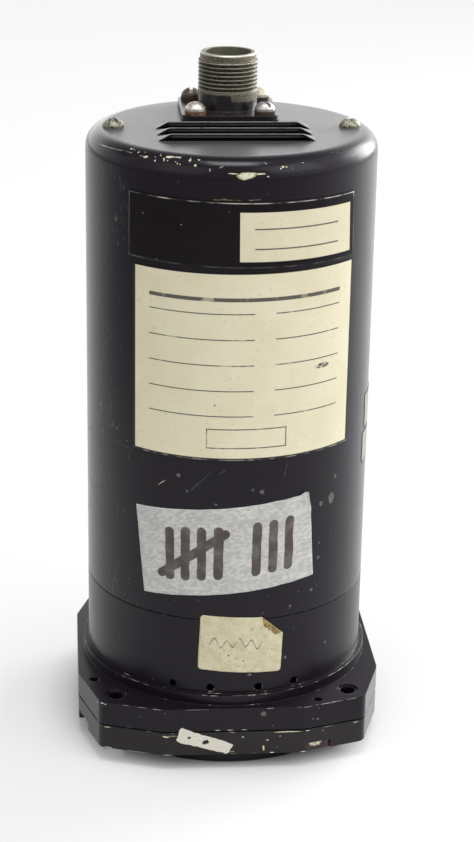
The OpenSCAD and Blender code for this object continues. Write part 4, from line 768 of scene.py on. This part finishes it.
u, v = square_grid(60, 90)
knots = [0, 0.735, 1]
top = np.stack([np.interp(u, knots, [-13.9, 10.7, 19.6]), np.interp(u, knots, [43.7, 42.9, 37.6])], -1)
foot = np.stack([np.interp(u, [0, 1], [-14.9, 19.0]), np.interp(u, [0, 1], [27.8, 26.4])], -1)
note = foot + v[..., None] * (top - foot)
note[..., 0] += 1.5 * round_off(v, 15.0, 0.9) * np.where(u < 0.5, 1 - 2 * u, (1 - 2 * u) * (v < 0.5))
note += 0.05 * np.stack([ragged(v, 11) * (2 * u - 1) ** 9, ragged(u, 12) * (2 * v - 1) ** 9], -1)
piece("sticker", can_skin(note[..., 0], note[..., 1], 0.10), "case",
      sticker_paper(0.0226, 0.0158), thick=0.06 * MM)
u, v = square_grid(40, 24)
fold = between([(7.25, 42.7), (12.9, 37.75), (10.9, 37.3), (7.6, 40.4)], u, v)
fold += 0.16 * (1 - v)[..., None] * np.stack([ragged(u, 13), ragged(u, 14)], -1)
glue = speckled("sticker_back", (0.115, 0.072, 0.020), (0.37, 0.265, 0.085), 0.7)
piece("sticker_fold", can_skin(np.degrees(fold[..., 0] / 38.2), fold[..., 1], 0.12 + 0.2 * v * (1 - v)),
      "case", glue)

# %% [markdown]
# Two small pale stickers stand at the right edge, one over the other, and a torn strip of paper still
# hangs on the front of the bezel and flange. The flats of the flange are taken as one long skin that
# bends at its two corners.

# %% Edge stickers and torn strip
def torn_paper(wide, high):
    """Dirty speckled paper with two holes that show the dark paint."""
    made, at = start("torn_paper")
    flat = sheet_place(at, wide, high)
    across, up, _ = split(flat)
    grain = noise(flat, 0.0004, 4, 0.7)
    base = tint(smooth(grain, 0.40, 0.75) * 0.8, (0.72, 0.69, 0.60), (0.38, 0.34, 0.26))
    wobble = 0.0006 * (noise(flat, 0.0008, 2) - 0.5)
    holes = stroke(across + wobble, up, 0.0030, 0.0018, 0.0032, 0.0019, 0.0003)
    holes = holes + stroke(across + wobble, up, 0.0076, 0.0017, 0.0080, 0.0020, 0.0006)
    base = tint(holes, base, (0.02, 0.017, 0.018))
    return close(made, at, base, 0.8, Normal=bump(grain, 0.00004), Specular_IOR_Level=0.25)


def edge_print(wide, high):
    """Pale worn paper with a dark outline, which is painted shade along the sticker's edges."""
    made, at = start("edge_print")
    across, up, _ = split(sheet_place(at, wide, high))
    cloud = noise(at, 0.003, 4, 0.6)
    # The dark outline is painted shade along the sticker's edges.
    rim = frame_line(across, up, 0.0, 0.0, wide, high, 0.0004)
    base = tint(rim, tint(cloud, (0.22, 0.215, 0.19), (0.42, 0.415, 0.375)), (0.05, 0.045, 0.045))
    return close(made, at, base, 0.6 + 0.2 * cloud, Specular_IOR_Level=0.25)


flat_half, flat_y = 18.5, -41.3
flat_cos, flat_sin = 0.951, 0.31
off_paint = 0.02


def rim_skin(along, up, lift):
    """A place on the flange's front flat, and past its ends on the next flats, which turn back by 18
    degrees."""
    straight = np.clip(along, -flat_half, flat_half)
    over = along - straight
    x = straight + flat_cos * over + flat_sin * lift * np.sign(over)
    y = flat_y + flat_sin * np.abs(over) - lift * np.where(over == 0, 1.0, flat_cos)
    return np.stack([x, y, up + 0 * x], -1) * MM


u, v = square_grid(48, 40)
edge_stickers = {
    "edge_sticker_upper": [(68.7, 96.6), (104.0, 96.6), (104.0, 86.4), (69.6, 86.4)],
    "edge_sticker_lower": [(67.2, 86.0), (104.0, 86.0), (104.0, 77.0), (67.2, 77.0)],
}
for name, corners in edge_stickers.items():
    label = between(corners, u, v)
    label[..., 0] += 1.5 * round_off(v, 9.5, 1.2) * (1 - u) ** 6
    piece(name, can_skin(label[..., 0], label[..., 1], 0.1), "case",
          edge_print(0.0225, 0.0105), thick=0.08 * MM)
u, v = square_grid(60, 16)
strip = between([(-14.6, 12.5), (-0.1, 7.3), (-1.7, 4.4), (-15.6, 8.3)], u, v)
strip[..., 1] += 0.10 * ragged(u, 21) * (2 * v - 1) ** 5
strip[..., 0] += (0.10 * ragged(v, 22) - 1.2 * round_off(v, 3.6, 0.7)) * (2 * u - 1) ** 9
torn = torn_paper(0.0150, 0.0036)
piece("torn_strip", rim_skin(strip[..., 0], strip[..., 1], off_paint), "case", torn)

# %% [markdown]
# Knocks have chipped the paint down to a pale primer, mostly round the can's closed end and on the edges
# of the bezel. Drops of something pale have dried on the side. Each mark is a small ragged disc on the
# skin that carries it, and long thin discs are the rubs and scratches. The pale rubs on the edges of the
# foot step, the flange and the shoulder are partly worn paint and partly painted highlights.

# %% Chips and spots
def discs(marks, seed, rough):
    """Flat ragged discs as arrays (marks, rows, columns, 2). A mark is its middle, half width, half
    height and tilt in degrees. A disc's radius at an angle is 1 plus four sines of that angle with seeded
    starts."""
    marks = np.array(marks, float)
    turn = np.linspace(0, -2 * np.pi, 24, endpoint=False)
    ring = np.linspace(0, 1, 4)
    order = np.array([2, 3, 5, 8])[:, None]
    begin = np.random.default_rng(seed).uniform(0, 7, (len(marks), 4, 1))
    seam = 1 + rough * (np.sin(order * turn + begin) / np.sqrt(order)).sum(1)
    reach = ring[None, :, None] * seam[:, None, :]
    x = marks[:, 2, None, None] * reach * np.cos(turn)
    y = marks[:, 3, None, None] * reach * np.sin(turn)
    tilt = np.radians(marks[:, 4])[:, None, None]
    return np.stack([marks[:, 0, None, None] + x * np.cos(tilt) - y * np.sin(tilt),
                     marks[:, 1, None, None] + x * np.sin(tilt) + y * np.cos(tilt)], -1)


side_r, step_r, step_z = 38.1, 39.0, 20.75


def can_marks(marks):
    """Marks whose middles are given as an angle and a length up the can, as arc lengths."""
    return [(math.radians(turn) * side_r, run, *rest) for turn, run, *rest in marks]


def bared_primer():
    """Pale green primer in the middle of a chip, olive towards its edge, where v is the ring from 0 to
    1."""
    made, at = start("primer_pale")
    _, ring, _ = split(sheet_place(at, 1, 1))
    fine = noise(at, 0.0007, 4, 0.65)
    base = tint(smooth(fine, 0.35, 0.62), (0.46, 0.47, 0.32), (0.66, 0.66, 0.52))
    base = tint(smooth(ring + 0.5 * (fine - 0.5), 0.70, 0.95), base, (0.17, 0.165, 0.06))
    return close(made, at, base, 0.55, Normal=bump(fine, 0.00003))


def scatter(count, seed, low, high, size):
    """Seeded marks in a box of angles and lengths, mostly small."""
    dice = np.random.default_rng(seed)
    place = dice.uniform(low, high, (count, 2))
    half = size * dice.uniform(0.3, 1.0, (count, 2)) ** 2
    return [(*spot, *wide, turn) for spot, wide, turn in zip(place, half, dice.uniform(-30, 30, count))]


primer = bared_primer()
worn = speckled("worn_brown", (0.03, 0.022, 0.014), (0.20, 0.155, 0.075), 0.6)
dried = speckled("dried_drops", (0.050, 0.045, 0.046), (0.12, 0.11, 0.11), 0.6)
# Pale rubs along edges: partly worn paint, partly painted highlights where the edges catch the light.
rub_and_highlight = speckled("rubbed_edge_highlight", (0.16, 0.15, 0.14), (0.50, 0.48, 0.44), 0.45)


def on_can(name, marks, seed, rough, finish):
    """Ragged discs on the can as one piece, 0.02 mm off the paint."""
    flat = discs(can_marks(marks), seed, rough)
    places = can_skin(np.degrees(flat[..., 0] / side_r), flat[..., 1], off_paint)
    return piece(name, places, "case", finish, wrap=True)


def on_rim(name, marks, seed, rough, finish):
    """Ragged discs on the front flats of the flange and bezel as one piece."""
    flat = discs(marks, seed, rough)
    return piece(name, rim_skin(flat[..., 0], flat[..., 1], off_paint), "case", finish, wrap=True)


def on_step(name, marks, seed, rough, finish):
    """Ragged discs on the step round the can's foot as one piece. Their middles are an angle and a
    radius."""
    flat = discs([(math.radians(turn) * step_r, *rest) for turn, *rest in marks], seed, rough)
    turn, out = flat[..., 0] / step_r, flat[..., 1]
    places = np.stack([out * np.sin(turn), -out * np.cos(turn), 0 * out + step_z + off_paint], -1)
    return piece(name, places * MM, "case", finish, wrap=True)


on_step("step_rubs_highlights", [
    (-42.0, 39.33, 1.6, 0.09, 0), (-36.5, 39.36, 0.9, 0.06, 0), (-12.0, 39.34, 0.8, 0.07, 0),
    (1.5, 39.36, 1.9, 0.06, 0), (6.8, 39.33, 1.5, 0.10, 0), (11.4, 39.36, 1.2, 0.07, 0),
    (23.0, 39.34, 1.1, 0.07, 0), (44.5, 39.34, 1.9, 0.08, 0), (50.0, 39.33, 1.7, 0.11, 0),
    (55.5, 39.36, 1.2, 0.06, 0)], 94, 0.12, rub_and_highlight)
on_can("paint_chips", [
    (1.0, 162.2, 2.5, 0.95, 2), (-4.0, 162.7, 1.5, 0.14, -3), (6.3, 162.6, 1.2, 0.22, 0),
    (-29.7, 166.1, 1.5, 0.38, 8), (-26.5, 166.3, 0.9, 0.22, 4), (-40.0, 165.0, 0.7, 0.35, 10),
    (-21.0, 165.7, 0.45, 0.25, 0), (-17.5, 166.05, 0.35, 0.22, 0), (-12.7, 163.4, 0.10, 0.5, 0),
    (-8.5, 164.3, 0.7, 0.07, 25), (15.2, 164.1, 0.4, 0.28, 0), (14.2, 163.7, 0.25, 0.2, 0),
    (9.0, 161.9, 0.3, 0.2, 0), (-30.6, 79.8, 1.5, 0.09, 38)]
    + scatter(26, 5, (-50, 164.3), (-14, 166.6), 0.42)
    + scatter(7, 6, (8, 163.2), (24, 165.6), 0.3), 31, 0.14, primer)
on_can("worn_paint", [
    (-9.6, 156.1, 1.0, 0.16, 0), (-7.2, 156.3, 0.7, 0.22, 0), (-5.2, 156.1, 1.3, 0.14, 0),
    (-1.6, 156.1, 0.6, 0.10, 0), (3.4, 156.1, 1.0, 0.16, 0), (5.5, 156.2, 0.6, 0.2, 0)], 41, 0.2, worn)
on_can("dried_drops", [
    (-23.5, 82.6, 0.55, 0.55, 0), (-20.0, 78.5, 0.35, 0.35, 0), (5.8, 79.4, 0.35, 0.35, 0),
    (9.4, 78.7, 0.65, 0.6, 0), (36.3, 72.3, 0.6, 0.75, 0), (42.1, 72.9, 1.05, 1.6, 0),
    (44.1, 78.7, 0.5, 0.6, 0), (35.6, 57.0, 0.5, 0.6, 0), (32.6, 48.1, 0.45, 0.5, 0),
    (22.6, 44.9, 0.4, 0.35, 0), (35.9, 61.2, 0.3, 0.3, 0), (41.5, 30.8, 0.4, 0.5, 0),
    (21.0, 30.0, 0.45, 0.45, 0), (6.0, 26.2, 0.55, 0.4, 0), (-65.1, 95.4, 0.25, 0.8, 0),
    (-56.2, 91.7, 0.25, 0.8, 0), (-8.5, 75.4, 0.4, 0.3, 0), (-74.0, 71.5, 2.6, 0.06, -12),
    (-70.0, 70.9, 2.2, 0.07, 18), (-64.0, 71.6, 2.8, 0.06, -6), (-60.0, 165.0, 7.0, 0.06, 4)]
    + scatter(22, 8, (24, 28), (50, 84), 0.3)
    + scatter(12, 9, (-50, 28), (20, 84), 0.22),
    61, 0.05, dried)
on_can("side_scratches", [
    (-78.0, 85.4, 3.2, 0.06, 6), (-70.0, 86.1, 2.6, 0.05, 6), (-62.0, 86.8, 2.6, 0.06, 4),
    (-54.0, 87.1, 2.4, 0.05, 1), (-47.0, 87.0, 1.8, 0.06, -2), (53.0, 87.3, 1.8, 0.05, -4),
    (58.5, 86.9, 1.6, 0.05, -4), (64.0, 86.5, 1.4, 0.05, -4), (-65.8, 95.3, 0.45, 0.9, 10),
    (-64.6, 94.3, 0.35, 0.5, 0), (-64.0, 88.0, 0.6, 0.45, 0), (-53.6, 91.1, 0.55, 0.28, -20),
    (-53.9, 147.3, 0.3, 0.7, 0), (-52.7, 141.2, 0.2, 0.5, 0), (-76.0, 68.5, 2.4, 0.05, 60),
    (-72.0, 67.0, 2.8, 0.05, -50), (-78.0, 70.0, 1.8, 0.05, -30), (-69.0, 66.5, 2.0, 0.05, -35),
    (-14.5, 81.5, 4.0, 0.05, 48), (-17.0, 80.0, 2.4, 0.04, 50), (19.0, 84.0, 2.4, 0.05, 75),
    (-6.0, 84.5, 1.6, 0.04, 35)], 63, 0.16, dried)
on_can("shoulder_rub_highlight", [
    (-66.0, 164.7, 2.6, 0.10, 4), (-60.5, 164.9, 2.2, 0.08, 3), (-55.0, 165.1, 1.6, 0.07, 5),
    (-49.0, 165.3, 1.2, 0.08, 6)], 62, 0.12, rub_and_highlight)
on_rim("rim_knocks", [
    (2.3, 9.35, 0.3, 0.22, 0), (7.9, 5.9, 0.28, 0.85, 8), (8.9, 8.3, 0.4, 0.16, 0),
    (12.3, 9.4, 0.2, 0.15, 0), (-4.5, 11.55, 0.9, 0.09, 0), (-1.2, 11.55, 0.9, 0.09, 0),
    (2.6, 11.55, 0.8, 0.09, 0), (14.2, 10.62, 4.2, 0.16, 1), (19.8, 10.6, 0.7, 0.12, 0),
    (10.2, 4.48, 0.75, 0.14, 0), (18.6, 4.48, 0.8, 0.14, 0), (-34.6, 10.62, 1.0, 0.13, 0),
    (-34.3, 4.5, 1.2, 0.13, 0), (-18.4, 9.9, 1.1, 0.22, -6), (-16.6, 10.1, 1.4, 0.06, 0),
    (-18.0, 4.42, 1.5, 0.08, 0), (-0.5, 5.0, 0.7, 0.07, 0), (34.0, 10.4, 0.8, 0.12, 0)], 91, 0.16, primer)
on_rim("rim_rubs_highlights", [
    (19.5, 17.82, 1.3, 0.07, 0), (26.6, 17.82, 3.2, 0.10, 0), (32.6, 17.82, 1.6, 0.06, 0),
    (37.3, 17.80, 0.6, 0.12, 0), (-36.0, 17.6, 0.4, 0.22, 0), (-37.3, 17.72, 0.25, 0.12, 0),
    (-35.1, 17.4, 0.25, 0.2, 0), (-29.5, 17.83, 0.9, 0.05, 0), (-25.0, 17.83, 1.4, 0.05, 0),
    (-20.8, 17.82, 1.3, 0.07, 0), (9.5, 17.82, 0.9, 0.09, 0), (-10.0, 17.84, 3.0, 0.04, 0),
    (-26.0, 4.38, 3.6, 0.05, 0), (26.0, 10.72, 1.5, 0.05, 0)], 92, 0.12, rub_and_highlight)
on_rim("rim_drops", [
    (7.7, 16.2, 0.75, 0.7, 0), (21.2, 13.9, 0.25, 0.25, 0), (22.6, 13.6, 0.35, 0.35, 0),
    (24.3, 9.8, 0.3, 0.3, 0), (10.2, 12.6, 0.2, 0.2, 0)], 93, 0.05, dried)

# %% [markdown]
# One bezel screw at the front was sealed with red-brown varnish, which fills the notch in front of its
# head. The varnish has cracked, and a torn flake of pale paint shows above the crack. Both are sheets
# across the notch's mouth, placed by the distance along the mouth, the height and the depth behind the
# bezel's flat.

# %% Varnish seal
notch_x, notch_y = 22.7, -37.0
bezel_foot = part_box("bezel_plate")[0].z / MM


def notch_skin(along, up, depth):
    """A place in the notch: along its mouth from the screw's axis, up from the bezel's foot, and behind
    the flat."""
    y = notch_y - 2.93 + 0.326 * along + depth
    return np.stack([notch_x + along, y, bezel_foot + up], -1) * MM


u, v = square_grid(48, 20)
along, up = 6.9 * u - 3.45, 0.03 + 2.34 * v
lump = np.exp(-((along - 2.3) / 0.9) ** 2) * np.sin(np.pi * np.clip(v, 0.02, 0.98)) ** 0.3
depth = 0.55 - 0.47 * lump + 0.10 * ragged(u + 0.4 * v, 51)
varnish = speckled("seal_varnish", (0.007, 0.003, 0.003), (0.040, 0.010, 0.009), 0.5)
piece("seal", notch_skin(along, up, np.maximum(depth, 0.05)), "case", varnish, thick=0.25 * MM)
u, v = square_grid(40, 10)
torn_line = np.clip(1.25 + 0.35 * ragged(u, 52) + 0.8 * np.abs(2 * u - 1) ** 4, 0.5, 2.3)
along, up = 3.6 * u - 2.5, 2.36 - (1 - v) * (2.36 - torn_line)
flake = speckled("seal_flake", (0.36, 0.33, 0.23), (0.62, 0.60, 0.46), 0.6)
piece("seal_flake", notch_skin(along, up, 0.28 + 0.1 * ragged(u, 53) * v), "case", flake, thick=0.12 * MM)

# %% [markdown]
# The dial looks at the floor in this picture, but it is read from below. White index marks stand round
# the needle's pivot: a pointed mark in the middle and at one standard turn each way, and plain ticks
# between them.

# %% Dial marks
def marks_round(angles, inner, shoulder, outer, half):
    """Pointed marks as arrays (marks, 3 rows, 2 columns, 3): straight sides up to the shoulder, then a
    point. Each is turned about the needle's pivot and lies on the dial's face, which looks down."""
    angles = np.radians(angles)[:, None, None]
    tip = half if shoulder == outer else 0.0
    side = np.array([[-half, half], [-half, half], [-tip, tip]])[None]
    reach = np.array([[inner, inner], [shoulder, shoulder], [outer, outer]])[None]
    x = reach * np.sin(angles) + side * np.cos(angles)
    y = reach * np.cos(angles) - side * np.sin(angles)
    return np.stack([-x, y + pivot_y, np.full_like(x, dial_face - off_paint)], -1) * MM


dial_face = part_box("dial_plate")[0].z / MM
pivot_y = -10.5
white = speckled("mark_white", (0.62, 0.62, 0.58), (0.80, 0.80, 0.76), 0.6)
piece("dial_marks", marks_round([0, -24, 24], 24.5, 30.0, 32.0, 1.1), "case", white)
piece("dial_ticks", marks_round([-12, 12, -36, 36, -46, 46], 28.0, 30.5, 30.5, 0.45),
      "case", white)
